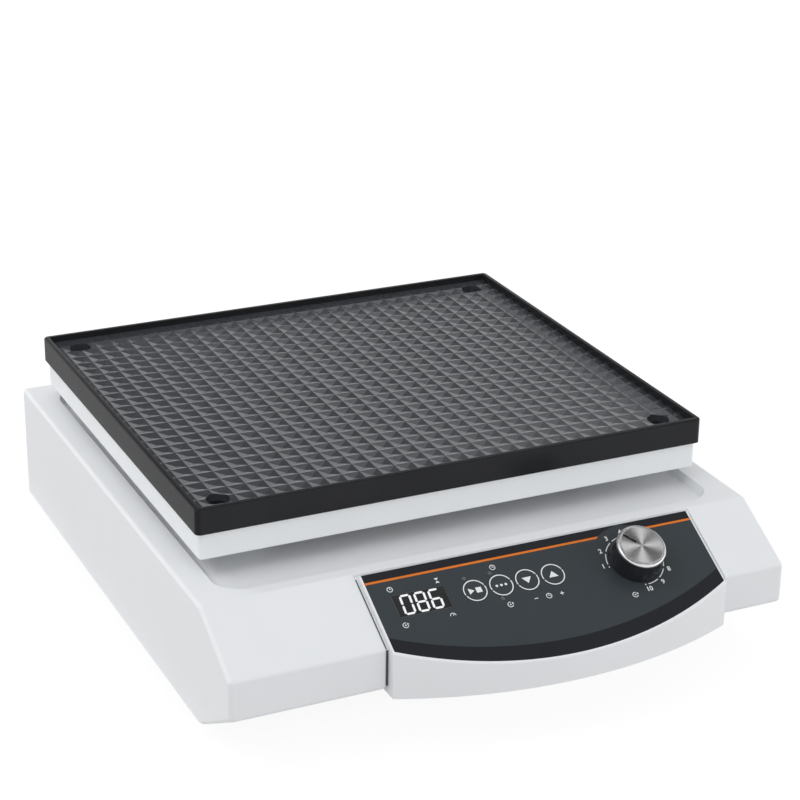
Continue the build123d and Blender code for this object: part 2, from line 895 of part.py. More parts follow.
drive_pulley_form = turned(
    [
        (shaft_seat + snug, pulley_z),
        (pulley_hub, pulley_z),
        (pulley_hub, pulley_z + (pulley_height - pulley_web) / 2),
        (pulley_radius - pulley_rim, pulley_z + (pulley_height - pulley_web) / 2),
        (pulley_radius - pulley_rim, pulley_z),
        *ribbed(pulley_radius, pulley_z, pulley_top_z),
        (pulley_radius - pulley_rim, pulley_top_z),
        (pulley_radius - pulley_rim, pulley_z + (pulley_height + pulley_web) / 2),
        (pulley_hub, pulley_z + (pulley_height + pulley_web) / 2),
        (pulley_hub, pulley_top_z),
        (shaft_seat + snug, pulley_top_z),
    ],
    0,
    drive_y,
)
with BuildPart() as drive_pulley:
    add(drive_pulley_form)
    with BuildSketch(Plane.XY.offset(pulley_z)):
        with Locations((0, drive_y)):
            with PolarLocations((pulley_hub + pulley_radius - pulley_rim) / 2, pulley_holes):
                Circle(pulley_hole_radius)
    extrude(amount=pulley_height, mode=Mode.SUBTRACT)
keep(drive_pulley, "drive_pulley")

crank_ring_parts = [inner_ring(0, drive_y, z) for z in main_bearing_levels]
crank_ring_parts += [inner_ring(0, platform_y, pin_bearing_z)]
with BuildPart() as crank_inner_rings:
    add(crank_ring_parts)
keep(crank_inner_rings, "crank_inner_rings")


def circlip(y, z):
    # Open spring ring in a groove of the shaft
    with BuildPart() as clip:
        with BuildSketch(Plane.XY.offset(z)):
            with Locations((0, y)):
                Circle(circlip_radius)
                Circle(groove_radius + running, mode=Mode.SUBTRACT)
            with Locations((0, y + circlip_radius)):
                Rectangle(circlip_gap, circlip_radius, mode=Mode.SUBTRACT)
        extrude(amount=circlip_thickness)
    return clip.part


clip_parts = [circlip(drive_y, lower_clip_z), circlip(platform_y, pin_bearing_top_z)]
with BuildPart() as shaft_circlips:
    add(clip_parts)
keep(shaft_circlips, "shaft_circlips")

# Motor shaft and its pulley
motor_shaft_end = 1.5
motor_shaft_round = 0.4
motor_pulley_hub = 9.0
motor_pulley_hub_length = 2.0
with BuildPart() as motor_shaft:
    with BuildSketch(Plane.XY.offset(chassis_z - motor_shaft_depth + thrust_gap)):
        with Locations((0, motor_y)):
            Circle(motor_shaft_radius)
    extrude(amount=motor_shaft_depth - thrust_gap + pulley_top_z + motor_shaft_end - chassis_z)
    fillet(motor_shaft.edges().group_by(Axis.Z)[-1], motor_shaft_round)
keep(motor_shaft, "motor_shaft")

guide_radius = motor_pulley_radius + belt_guide
motor_pulley_part = turned(
    [
        (motor_shaft_radius + snug, pulley_z - pulley_edge / 2 - motor_pulley_hub_length),
        (motor_pulley_hub, pulley_z - pulley_edge / 2 - motor_pulley_hub_length),
        (motor_pulley_hub, pulley_z - pulley_edge / 2),
        (guide_radius, pulley_z - pulley_edge / 2),
        (guide_radius, pulley_z + pulley_edge / 2),
        *ribbed(motor_pulley_radius, pulley_z + pulley_edge / 2, pulley_top_z - pulley_edge / 2),
        (guide_radius, pulley_top_z - pulley_edge / 2),
        (guide_radius, pulley_top_z + pulley_edge / 2),
        (motor_shaft_radius + snug, pulley_top_z + pulley_edge / 2),
    ],
    0,
    motor_y,
)
with BuildPart() as motor_pulley:
    add(motor_pulley_part)
keep(motor_pulley, "motor_pulley")

# Four supporting cranks with the same throw as the driven one
upper_bush_z = boss_low_z - bush_flange
idler_pin_length = 12.5
idler_pin_chamfer = 0.8
idler_disc_radius = shoulder_radius + orbit_radius + 2
idler_tail_rise = 0.5
idler_tail_z = chassis_z + idler_tail_rise
for number, (x, y) in enumerate(idler_places, 1):
    lower = turned(
        [
            (0, idler_tail_z),
            (idler_journal, idler_tail_z),
            (idler_journal, disc_low_z),
            (idler_disc_radius, disc_low_z),
            (idler_disc_radius, disc_top_z),
            (0, disc_top_z),
        ],
        x,
        y,
    )
    upper = turned(
        [
            (0, disc_top_z),
            (shoulder_radius, disc_top_z),
            (shoulder_radius, upper_bush_z - thrust_gap),
            (idler_journal, upper_bush_z - thrust_gap),
            (idler_journal, upper_bush_z + idler_pin_length - idler_pin_chamfer),
            (idler_journal - idler_pin_chamfer, upper_bush_z + idler_pin_length),
            (0, upper_bush_z + idler_pin_length),
        ],
        x,
        y + orbit_radius,
    )
    with BuildPart() as idler_crank:
        add(lower)
        add(upper)
    keep(idler_crank, f"idler_crank_{number}")

# Platform carrier: a box open below, with bosses for the bearing and the upper bushes
carrier_width = tray_width - 2 * skirt_inset
carrier_depth = tray_depth - 2 * skirt_inset
carrier_corner = 2.0
deck_low_z = deck_z - deck_thickness
main_boss_radius = 22.0
bush_end_gap = 0.5
idler_boss_radius = 11.5
carried_places = [(x, y + orbit_radius) for x, y in idler_places]
pocket_room = 2.0
pocket_top_z = pin_top_z + pocket_room
pocket_top_radius = 12.5
tray_screw_length = 6.0
tray_screw_head = 3.9
tray_screw_sink = 1.9
tray_screw_set = 0.1
tray_screw_socket, tray_screw_socket_depth = 1.6, 1.2
tray_screw_places = [
    (column * tray_screw_pitch_x / 2, platform_y + side * tray_screw_pitch_y / 2)
    for column in (-1, 0, 1)
    for side in (-1, 1)
]
accessory_places = [
    (sx * accessory_pitch_x / 2, platform_y + sy * accessory_pitch_y / 2) for sx in (-1, 1) for sy in (-1, 1)
]

with BuildPart() as platform_carrier:
    with BuildSketch(Plane.XY.offset(skirt_z)):
        with Locations((0, platform_y)):
            RectangleRounded(carrier_width, carrier_depth, carrier_corner)
    extrude(amount=deck_z - skirt_z)
    with BuildSketch(Plane.XY.offset(skirt_z)):
        with Locations((0, platform_y)):
            Rectangle(carrier_width - 2 * skirt_wall, carrier_depth - 2 * skirt_wall)
    extrude(amount=deck_low_z - skirt_z, mode=Mode.SUBTRACT)
    with BuildSketch(Plane.XY.offset(deck_low_z - deck_rib_depth)):
        with Locations((-idler_x, platform_y), (0, platform_y), (idler_x, platform_y)):
            Rectangle(deck_rib, carrier_depth - skirt_wall)
        with Locations((0, platform_y - idler_y), (0, platform_y), (0, platform_y + idler_y)):
            Rectangle(carrier_width - skirt_wall, deck_rib)
    extrude(amount=deck_rib_depth)
    with BuildSketch(Plane.XY.offset(boss_low_z)):
        with Locations((0, platform_y)):
            Circle(main_boss_radius)
        with Locations(*carried_places):
            Circle(idler_boss_radius)
    extrude(amount=deck_low_z - boss_low_z)
    with BuildSketch(Plane.XY.offset(boss_low_z)):
        with Locations((0, platform_y)):
            Circle(bearing_outer + snug)
    extrude(amount=pin_bearing_top_z - boss_low_z, mode=Mode.SUBTRACT)
    with BuildSketch(Plane.XY.offset(pin_bearing_top_z)):
        with Locations((0, platform_y)):
            Circle(pocket_top_radius)
    extrude(amount=pocket_top_z - pin_bearing_top_z, mode=Mode.SUBTRACT)
    with BuildSketch(Plane.XY.offset(boss_low_z)):
        with Locations(*carried_places):
            Circle(bush_radius + snug)
    extrude(amount=idler_pin_length, mode=Mode.SUBTRACT)
    with BuildSketch(Plane.XY.offset(deck_z)):
        with Locations(*tray_screw_places):
            Circle(screw_shank + running)
    extrude(amount=-deck_thickness, mode=Mode.SUBTRACT)
    with BuildSketch(Plane.XY.offset(deck_z)):
        with Locations(*accessory_places):
            Circle(accessory_radius + accessory_clearance)
    extrude(amount=-deck_thickness, mode=Mode.SUBTRACT)
keep(platform_carrier, "platform_carrier")

upper_sleeve_z = boss_low_z + idler_pin_length - bush_end_gap
upper_bush_parts = [bush(x, y, upper_bush_z, upper_sleeve_z) for x, y in carried_places]
with BuildPart() as idler_upper_bushes:
    add(upper_bush_parts)
keep(idler_upper_bushes, "idler_upper_bushes")

platform_ring_part = outer_ring(0, platform_y, pin_bearing_z)
with BuildPart() as platform_outer_ring:
    add(platform_ring_part)
keep(platform_outer_ring, "platform_outer_ring")

# Tray over the carrier, with a raised rim
tray_inside_corner = 1.0
lap_corner = 1.5
with BuildPart() as tray:
    with BuildSketch(Plane.XY.offset(tray_z)):
        with Locations((0, platform_y)):
            RectangleRounded(tray_width, tray_depth, tray_corner)
    extrude(amount=tray_height)
    fillet(tray.edges().group_by(Axis.Z)[-1], tray_edge_round)
    with BuildSketch(Plane.XY.offset(tray_z)):
        with Locations((0, platform_y)):
            RectangleRounded(
                carrier_width + 2 * lap_clearance, carrier_depth + 2 * lap_clearance, lap_corner
            )
    extrude(amount=tray_lap, mode=Mode.SUBTRACT)
    with BuildSketch(Plane.XY.offset(tray_floor_z)):
        with Locations((0, platform_y)):
            RectangleRounded(tray_width - 2 * tray_rim, tray_depth - 2 * tray_rim, tray_inside_corner)
    extrude(amount=tray_height, mode=Mode.SUBTRACT)
    with BuildSketch(Plane.XY.offset(tray_floor_z)):
        with Locations(*accessory_places):
            Circle(accessory_radius)
        with Locations(*tray_screw_places):
            Circle(screw_shank + screw_clearance)
    extrude(amount=-tray_floor, mode=Mode.SUBTRACT)
    with BuildSketch(Plane.XY.offset(tray_floor_z)):
        with Locations(*tray_screw_places):
            Circle(tray_screw_head + screw_clearance)
    extrude(amount=-tray_screw_sink, taper=45, mode=Mode.SUBTRACT)
keep(tray, "tray")

screw_top = Plane.XY.offset(tray_floor_z - tray_screw_set)
with BuildPart() as tray_screws:
    with BuildSketch(screw_top):
        with Locations(*tray_screw_places):
            Circle(tray_screw_head)
    extrude(amount=-tray_screw_sink, taper=45)
    with BuildSketch(screw_top):
        with Locations(*tray_screw_places):
            Circle(screw_shank)
    extrude(amount=-tray_screw_length)
    with BuildSketch(screw_top):
        with Locations(*tray_screw_places):
            RegularPolygon(tray_screw_socket, 6)
    extrude(amount=-tray_screw_socket_depth, mode=Mode.SUBTRACT)
keep(tray_screws, "tray_screws")

# Grip mat: ridges along and across leave a square dimple between every four lines
mat_width = tray_width - 2 * (tray_rim + mat_clearance)
mat_depth = tray_depth - 2 * (tray_rim + mat_clearance)
mat_left, mat_front = -mat_width / 2, platform_y - mat_depth / 2


def ridge_profile(start, length, first, pitch):
    # Ridge peaks at every line and valleys half way between, closed along the underside
    marks = []
    for step in range(-1, int(2 * (length - first) / pitch) + 2):
        place = first + step * pitch / 2
        depth = 0 if step % 2 == 0 else dimple_depth
        marks.append((place, mat_top_z - depth))
    points = [(start, tray_floor_z), (start, height_at(marks, 0))]
    points += [(start + place, height) for place, height in marks if 0.01 < place < length - 0.01]
    points += [(start + length, height_at(marks, length)), (start + length, tray_floor_z)]
    return points


def height_at(marks, place):
    # Height of the ridges where the mat is cut off
    for (low, low_height), (high, high_height) in zip(marks, marks[1:]):
        if low <= place <= high:
            return low_height + (high_height - low_height) * (place - low) / (high - low)
    return marks[-1][1]


with BuildPart() as mat_columns:
    with BuildSketch(Plane.XZ.offset(-mat_front)):
        with BuildLine():
            Polyline(*ridge_profile(mat_left, mat_width, first_column, column_pitch), close=True)
        make_face()
    extrude(amount=-mat_depth)

with BuildPart() as mat_rows:
    with BuildSketch(Plane.YZ.offset(mat_left)):
        with BuildLine():
            Polyline(*ridge_profile(mat_front, mat_depth, first_row, row_pitch), close=True)
        make_face()
    extrude(amount=mat_width)

with BuildPart() as grip_mat:
    add(mat_columns.part)
    add(mat_rows.part)
    with BuildSketch(Plane.XY.offset(tray_floor_z)):
        with Locations((0, platform_y)):
            RectangleRounded(mat_width, mat_depth, tray_inside_corner)
        with Locations(*accessory_places):
            Circle(accessory_radius + accessory_clearance, mode=Mode.SUBTRACT)
    extrude(amount=mat_thickness, mode=Mode.INTERSECT)
keep(grip_mat, "grip_mat")

# Console: a shell seated in the shallow pocket of the cover, open to its inside
seat_y = front_y + console_seat
face_over = 0.2
fixing_boss_radius = 4.0
fixing_screw_length = 12.0
fixing_bore = 13.0
board_post_edge = 6.0
board_thread_gap = 0.5
hollow_low = Plane.XY.offset(console_low_z + console_wall)
hollow_body = extrude(hollow_low * console_outline(-console_wall), amount=top_z)
over_face = above(face_plane)
under_plate = above(face_plane.offset(-console_wall))
film_body = extrude(Plane.XY.offset(console_low_z) * console_outline(-film_border), amount=top_z)
under_film = face_plane.offset(-film_thickness)
below_film = above(Plane(origin=under_film.origin, x_dir=(1, 0, 0), z_dir=-under_film.z_dir))
board_middle = -(board_top + board_length / 2)
board_post_x = board_width / 2 - board_post_edge
board_post_y = board_length / 2 - board_post_inset
board_places = [(sx * board_post_x, board_middle + sy * board_post_y) for sx in (-1, 1) for sy in (-1, 1)]
key_places = [(key_x + number * key_pitch, -key_s) for number in range(4)]
lamp_places = [(x, -s) for x, s in led_places]

with BuildPart() as film_pocket:
    add(film_body)
    add(below_film, mode=Mode.SUBTRACT)

with BuildPart() as console_hollow:
    add(hollow_body)
    add(under_plate, mode=Mode.SUBTRACT)
    with BuildSketch(Plane.XZ.offset(-seat_y)):
        with Locations(*[(x, fixing_z) for x, low in console_fixings]):
            Circle(fixing_boss_radius)
    extrude(amount=2 * console_reach, mode=Mode.SUBTRACT)

with BuildPart() as console_form:
    add(console_body)
    add(over_face, mode=Mode.SUBTRACT)
    fillet(top_edges(console_form, face_plane), console_round)
    add(seat_core, mode=Mode.SUBTRACT)

with BuildPart() as console_shell:
    add(console_form.part)
    add(console_hollow.part, mode=Mode.SUBTRACT)
    add(film_pocket.part, mode=Mode.SUBTRACT)
    with BuildSketch(face_plane):
        with Locations((display_x, -display_s)):
            Rectangle(display_width + 2 * lens_clearance, display_height + 2 * lens_clearance)
        with Locations(*key_places):
            Circle(key_radius + key_clearance)
        with Locations(*lamp_places):
            Circle(led_radius + film_clearance)
        with Locations((knob_x, -knob_s)):
            Circle(bushing_radius)
    extrude(amount=-console_wall - face_over, mode=Mode.SUBTRACT)
    with BuildSketch(face_plane.offset(-console_wall)):
        with Locations(*board_places):
            Circle(board_post_radius)
    extrude(amount=-(board_depth - console_wall))
    with BuildSketch(face_plane.offset(-board_depth)):
        with Locations(*board_places):
            Circle(small_shank + running)
    extrude(amount=board_depth - console_wall - board_thread_gap, mode=Mode.SUBTRACT)
    with BuildSketch(Plane.XZ.offset(-seat_y)):
        with Locations(*[(x, fixing_z) for x, low in console_fixings]):
            Circle(small_shank + running)
    extrude(amount=fixing_bore, mode=Mode.SUBTRACT)
keep(console_shell, "console_shell")

console_screws = pan_screws(
    console_fixings, front_inside, small_shank, small_head, small_head_height, fixing_screw_length
)
keep(console_screws, "console_screws")

film_plan = console_outline(-film_border - film_clearance)
film_edge = extrude(Plane.XY.offset(console_low_z) * film_plan, amount=top_z)
with BuildPart() as panel_film:
    add(film_edge)
    add(over_face, mode=Mode.SUBTRACT)
    add(below_film, mode=Mode.SUBTRACT)
    with BuildSketch(face_plane):
        with Locations((display_x, -display_s)):
            Rectangle(display_width + 2 * lens_clearance, display_height + 2 * lens_clearance)
        with Locations(*key_places):
            Circle(key_radius + key_clearance)
        with Locations(*lamp_places):
            Circle(led_radius + film_clearance)
        with Locations((knob_x, -knob_s)):
            Circle(bushing_radius)
    extrude(amount=-2 * film_thickness, mode=Mode.SUBTRACT)
keep(panel_film, "panel_film")

# Display window and the module behind it
with BuildPart() as display_lens:
    with BuildSketch(face_plane.offset(-console_wall - lens_flange)):
        with Locations((display_x, -display_s)):
            Rectangle(display_width + 2 * lens_seat, display_height + 2 * lens_seat)
    extrude(amount=lens_flange)
    with BuildSketch(face_plane.offset(-console_wall)):
        with Locations((display_x, -display_s)):
            Rectangle(display_width, display_height)
    extrude(amount=console_wall - lens_set)
keep(display_lens, "display_lens")

with BuildPart() as display_module:
    with BuildSketch(face_plane.offset(-board_depth)):
        with Locations((display_x, -display_s)):
            Rectangle(display_width + 2 * lens_seat, display_height + 2 * lens_seat)
    extrude(amount=board_depth - console_wall - lens_flange - module_gap)
keep(display_module, "display_module")

# Four keys, each over its own switch on the board
for name, place in zip(("start_stop_key", "select_key", "down_key", "up_key"), key_places):
    flange_low = console_wall + thrust_gap + key_flange
    with BuildPart() as key:
        with BuildSketch(face_plane.offset(-flange_low)):
            with Locations(place):
                Circle(key_flange_radius)
        extrude(amount=key_flange)
        with BuildSketch(face_plane.offset(-flange_low)):
            with Locations(place):
                Circle(key_radius)
        extrude(amount=flange_low + key_proud)
        with BuildSketch(face_plane.offset(-flange_low)):
            with Locations(place):
                Circle(key_stem_radius)
        extrude(amount=-(board_depth - switch_height - flange_low - switch_stroke))
    keep(key, name)

with BuildPart() as tact_switches:
    with BuildSketch(face_plane.offset(-board_depth)):
        with Locations(*key_places):
            Rectangle(switch_size, switch_size)
    extrude(amount=switch_height - switch_button)
    with BuildSketch(face_plane.offset(-board_depth)):
        with Locations(*key_places):
            Circle(switch_plunger_radius)
    extrude(amount=switch_height)
keep(tact_switches, "tact_switches")

with BuildPart() as indicator_leds:
    with BuildSketch(face_plane.offset(-board_depth)):
        with Locations(*lamp_places):
            Circle(led_stem_radius)
    extrude(amount=board_depth)
    with BuildSketch(face_plane.offset(-console_wall)):
        with Locations(*lamp_places):
            Circle(led_radius)
    extrude(amount=console_wall)
keep(indicator_leds, "indicator_leds")

with BuildPart() as control_board:
    with BuildSketch(face_plane.offset(-board_depth - board_thickness)):
        with Locations((0, board_middle)):
            RectangleRounded(board_width, board_length, board_corner)
        with Locations(*board_places):
            Circle(small_shank + screw_clearance, mode=Mode.SUBTRACT)
    extrude(amount=board_thickness)
keep(control_board, "control_board")

board_back = face_plane.offset(-board_depth - board_thickness)
board_back_plane = Plane(origin=board_back.origin, x_dir=(1, 0, 0), z_dir=-board_back.z_dir)
board_screws = pan_screws(
    flipped(board_places), board_back_plane, small_shank, small_head, small_head_height,
    board_thickness + board_thread
)
keep(board_screws, "board_screws")

# Speed knob on the spindle of a potentiometer
pot_radius = 8.5
pot_bushing_play = 0.2
pot_bushing_radius = bushing_radius - pot_bushing_play
pot_bushing_length = 3.0
nut_radius = 5.6
nut_height = 2.0
spindle_tail = 7.5
knob_hub_radius = 6.0
knob_hub_low = 3.4
knob_hollow_radius = 11.0
knob_body_height = knob_height - cap_thickness
knob_hollow_top = knob_body_height - knob_wall
spindle_end_gap = 0.5
spindle_top = knob_hollow_top - spindle_end_gap
knob_draft = degrees(atan2(knob_base_radius - knob_top_radius, knob_body_height - knob_gap))
knob_place = (knob_x, -knob_s)

with BuildPart() as potentiometer:
    with BuildSketch(face_plane.offset(-board_depth)):
        with Locations(knob_place):
            Circle(pot_radius)
    extrude(amount=board_depth - console_wall - module_gap)
    with BuildSketch(face_plane.offset(-board_depth)):
        with Locations(knob_place):
            Circle(pot_bushing_radius)
    extrude(amount=board_depth + pot_bushing_length)
    with BuildSketch(face_plane.offset(pot_bushing_length)):
        with Locations(knob_place):
            Circle(spindle_radius + running)
    extrude(amount=-(pot_bushing_length + spindle_tail + thrust_gap), mode=Mode.SUBTRACT)
keep(potentiometer, "potentiometer")

with BuildPart() as potentiometer_nut:
    with BuildSketch(face_plane):
        with Locations(knob_place):
            RegularPolygon(nut_radius, 6)
            Circle(pot_bushing_radius + snug, mode=Mode.SUBTRACT)
    extrude(amount=nut_height)
keep(potentiometer_nut, "potentiometer_nut")

with BuildPart() as knob_spindle:
    with BuildSketch(face_plane.offset(-spindle_tail)):
        with Locations(knob_place):
            Circle(spindle_radius)
    extrude(amount=spindle_tail + spindle_top)
keep(knob_spindle, "knob_spindle")

with BuildPart() as knob_body:
    with BuildSketch(face_plane.offset(knob_gap)):
        with Locations(knob_place):
            Circle(knob_base_radius)
    extrude(amount=knob_body_height - knob_gap, taper=knob_draft)
    with BuildSketch(face_plane.offset(knob_gap)):
        with Locations(knob_place):
            Circle(knob_hollow_radius)
    extrude(amount=knob_hollow_top - knob_gap, mode=Mode.SUBTRACT)
    with BuildSketch(face_plane.offset(knob_hub_low)):
        with Locations(knob_place):
            Circle(knob_hub_radius)
    extrude(amount=knob_hollow_top - knob_hub_low)
    with BuildSketch(face_plane.offset(knob_hub_low)):
        with Locations(knob_place):
            Circle(spindle_radius + snug)
    extrude(amount=spindle_top - knob_hub_low, mode=Mode.SUBTRACT)
keep(knob_body, "knob_body")

with BuildPart() as knob_cap:
    with BuildSketch(face_plane.offset(knob_body_height)):
        with Locations(knob_place):
            Circle(cap_radius)
    extrude(amount=cap_thickness)
    fillet(top_edges(knob_cap, face_plane), cap_round)
keep(knob_cap, "knob_cap")

# Mains inlet with three pins, in the service panel
inlet_flange_width = 50.0
inlet_flange_height = 24.0
inlet_flange = 3.0
inlet_flange_corner = 5.0
inlet_screw_thread = 7.0
inlet_play = 0.2
inlet_length = 20.0
socket_width = 24.4
socket_height = 16.4
socket_chamfer = 5.0
socket_depth = 16.0
pin_width = 2.0
pin_height = 4.0
pin_pitch = 7.0
pin_rise = 1.5
pin_tail = 6.0
pin_setback = 2.0
inlet_face = Plane.XZ.offset(-(service_y + inlet_flange))
pin_places = [(inlet_x + side * pin_pitch, service_z - pin_rise) for side in (-1, 1)]
pin_places += [(inlet_x, service_z + pin_rise)]
inlet_screw_places = [(inlet_x + side * inlet_screw_pitch / 2, service_z) for side in (-1, 1)]

with BuildPart() as mains_inlet:
    with BuildSketch(inlet_face):
        with Locations((inlet_x, service_z)):
            RectangleRounded(inlet_flange_width, inlet_flange_height, inlet_flange_corner)
        with Locations(*inlet_screw_places):
            Circle(small_shank + screw_clearance, mode=Mode.SUBTRACT)
    extrude(amount=inlet_flange)
    with BuildSketch(inlet_face):
        with Locations((inlet_x, service_z)):
            Rectangle(inlet_cut_width - 2 * inlet_play, inlet_cut_height - 2 * inlet_play)
    extrude(amount=inlet_flange + inlet_length)
    with BuildSketch(inlet_face) as inlet_sketch:
        with Locations((inlet_x, service_z)):
            Rectangle(socket_width, socket_height)
        chamfer(inlet_sketch.vertices().group_by(Axis.Y)[-1], socket_chamfer)
    extrude(amount=socket_depth, mode=Mode.SUBTRACT)
    with BuildSketch(inlet_face):
        with Locations(*pin_places):
            Rectangle(pin_width, pin_height)
    extrude(amount=inlet_flange + inlet_length, mode=Mode.SUBTRACT)
keep(mains_inlet, "mains_inlet")

with BuildPart() as inlet_pins:
    with BuildSketch(inlet_face.offset(-pin_setback)):
        with Locations(*pin_places):
            Rectangle(pin_width, pin_height)
    extrude(amount=inlet_flange + inlet_length + pin_tail - pin_setback)
keep(inlet_pins, "inlet_pins")

outward = Plane(origin=(0, service_y + inlet_flange, 0), x_dir=(1, 0, 0), z_dir=(0, 1, 0))
inlet_screws = pan_screws(
    flipped(inlet_screw_places), outward, small_shank, small_head, small_head_height,
    inlet_flange + inlet_screw_thread
)
keep(inlet_screws, "inlet_screws")

# Power switch: a housing through the panel and a rocker on a pivot across it
switch_bezel_width = 15.0
switch_bezel_height = 21.2
switch_bezel = 1.5
switch_bezel_corner = 1.0
switch_play = 0.1
switch_length = 17.0
rocker_width = 10.6
rocker_radius = 8.2
rocker_play = 0.25
rocker_end = 4.4
rocker_middle = 3.2
rocker_back = 2.0
rocker_tilt = 10.0
rocker_pin_radius = 1.0
rocker_pin_reach = 0.7
rocker_set = 0.6
rocker_room = 1.0
rocker_y = service_y - rocker_set
switch_face = Plane.XZ.offset(-(service_y + switch_bezel))

with BuildPart() as switch_housing:
    with BuildSketch(switch_face):
        with Locations((switch_x, service_z)):
            RectangleRounded(switch_bezel_width, switch_bezel_height, switch_bezel_corner)
    extrude(amount=switch_bezel)
    with BuildSketch(switch_face):
        with Locations((switch_x, service_z)):
            Rectangle(switch_cut_width - 2 * switch_play, switch_cut_height - 2 * switch_play)
    extrude(amount=switch_bezel + switch_length)
    with BuildSketch(switch_face):
        with Locations((switch_x, service_z)):
            Rectangle(rocker_width + 2 * rocker_play, 2 * (rocker_radius + rocker_play))
    extrude(amount=switch_bezel + rocker_set + rocker_radius + rocker_room, mode=Mode.SUBTRACT)
    with BuildSketch(Plane(origin=(switch_x, rocker_y, service_z), x_dir=(0, 1, 0), z_dir=(1, 0, 0))):
        Circle(rocker_pin_radius + running)
    extrude(amount=rocker_width / 2 + rocker_pin_reach + rocker_play, both=True, mode=Mode.SUBTRACT)
keep(switch_housing, "switch_housing")

tilt = radians(rocker_tilt)
rocker_plane = Plane(
    origin=(switch_x, rocker_y, service_z), x_dir=(0, cos(tilt), -sin(tilt)), z_dir=(1, 0, 0)
)
end_height = sqrt(rocker_radius**2 - rocker_end**2)
back_height = sqrt(rocker_radius**2 - rocker_back**2)
with BuildPart() as rocker:
    with BuildSketch(rocker_plane):
        with BuildLine():
            Polyline((rocker_end, -end_height), (rocker_middle, 0), (rocker_end, end_height))
            ThreePointArc((rocker_end, end_height), (0, rocker_radius), (-rocker_back, back_height))
            Line((-rocker_back, back_height), (-rocker_back, -back_height))
            ThreePointArc((-rocker_back, -back_height), (0, -rocker_radius), (rocker_end, -end_height))
        make_face()
    extrude(amount=rocker_width / 2, both=True)
    with BuildSketch(rocker_plane):
        Circle(rocker_pin_radius)
    extrude(amount=rocker_width / 2 + rocker_pin_reach, both=True)
keep(rocker, "rocker")

# Power board on posts above the bottom plate
power_x, power_y = 68.0, 97.0
power_width, power_length = 76.0, 64.0
power_post = 6.0
power_thickness = 1.6
power_corner, power_post_inset, power_post_radius = 2.0, 4.0, 3.0
power_z = floor_z + power_post
power_top_z = power_z + power_thickness
power_post_x = power_width / 2 - power_post_inset
power_post_y = power_length / 2 - power_post_inset
power_corners = [
    (power_x + sx * power_post_x, power_y + sy * power_post_y) for sx in (-1, 1) for sy in (-1, 1)
]

with BuildPart() as power_posts:
    with BuildSketch(Plane.XY.offset(floor_z)):
        with Locations(*power_corners):
            Circle(power_post_radius)
    extrude(amount=power_post)
keep(power_posts, "power_posts")

with BuildPart() as power_board:
    with BuildSketch(Plane.XY.offset(power_z)):
        with Locations((power_x, power_y)):
            RectangleRounded(power_width, power_length, power_corner)
    extrude(amount=power_thickness)
keep(power_board, "power_board")

# Blocks on the power board: place on the board, width, length and height
transformer = (-16.0, 12.0, 32.0, 27.0, 20.0)
input_filter = (-24.0, -20.0, 16.0, 12.0, 14.0)
heat_sink = (20.0, -2.0, 26.0, 5.0, 14.0)
terminals = (8.0, -24.0, 28.0, 7.0, 8.0)
capacitor_radius, capacitor_height = 6.2, 19.0
capacitor_places = [(power_x + 14, power_y + 16), (power_x + 28, power_y + 16)]

with BuildPart() as power_components:
    for x, y, width, length, height in (transformer, input_filter, heat_sink, terminals):
        with BuildSketch(Plane.XY.offset(power_top_z)):
            with Locations((power_x + x, power_y + y)):
                Rectangle(width, length)
        extrude(amount=height)
    with BuildSketch(Plane.XY.offset(power_top_z)):
        with Locations(*capacitor_places):
            Circle(capacitor_radius)
    extrude(amount=capacitor_height)
keep(power_components, "power_components")
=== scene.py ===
import json
from math import atan2, cos, pi, radians, sin, sqrt

import bmesh
import bpy
from mathutils import Matrix, Vector


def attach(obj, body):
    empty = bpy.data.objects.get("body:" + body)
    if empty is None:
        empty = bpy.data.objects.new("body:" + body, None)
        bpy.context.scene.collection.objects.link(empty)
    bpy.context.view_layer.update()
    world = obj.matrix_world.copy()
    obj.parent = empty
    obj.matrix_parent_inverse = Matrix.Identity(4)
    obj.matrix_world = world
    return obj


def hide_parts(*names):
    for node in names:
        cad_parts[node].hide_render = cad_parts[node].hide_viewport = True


# Looks of the orbital shaker. Sizes are in millimetres and are turned to metres on the way in.
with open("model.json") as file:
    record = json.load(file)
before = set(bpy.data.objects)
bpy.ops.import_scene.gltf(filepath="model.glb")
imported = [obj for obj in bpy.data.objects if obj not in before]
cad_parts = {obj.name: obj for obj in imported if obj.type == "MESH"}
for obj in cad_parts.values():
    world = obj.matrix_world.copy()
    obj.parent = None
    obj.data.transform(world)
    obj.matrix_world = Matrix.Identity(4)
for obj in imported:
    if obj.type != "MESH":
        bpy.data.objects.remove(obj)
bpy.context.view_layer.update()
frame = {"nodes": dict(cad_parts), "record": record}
nodes = frame["nodes"]
MM = 0.001

ACROSS = Vector((1, 0, 0))


def facing(origin, up, out):
    # Stands a flat drawing on a face: x across, y up the face, z out of it
    turn = Matrix([[ACROSS[i], up[i], out[i]] for i in range(3)]).to_4x4()
    return Matrix.Translation(origin * MM) @ turn


# The console's face, with its origin at the top of the slope in the console's middle.
# Places on it are x across and s down the slope.
slope = atan2(22.7, 41.4)
UP_SLOPE = Vector((0, cos(slope), sin(slope)))
OUT = Vector((0, -sin(slope), cos(slope)))
CONSOLE_PROUD = 2.0
FACE = Vector((23.0, -121.1, 80.4)) + CONSOLE_PROUD * OUT
FACE_MATRIX = facing(FACE, UP_SLOPE, OUT)

KEYS = {"start_stop": -40.8, "select": -25.7, "down": -10.6, "up": 4.5}
KEY_S = 25.4
KNOB_X, KNOB_S = 53.0, 27.0


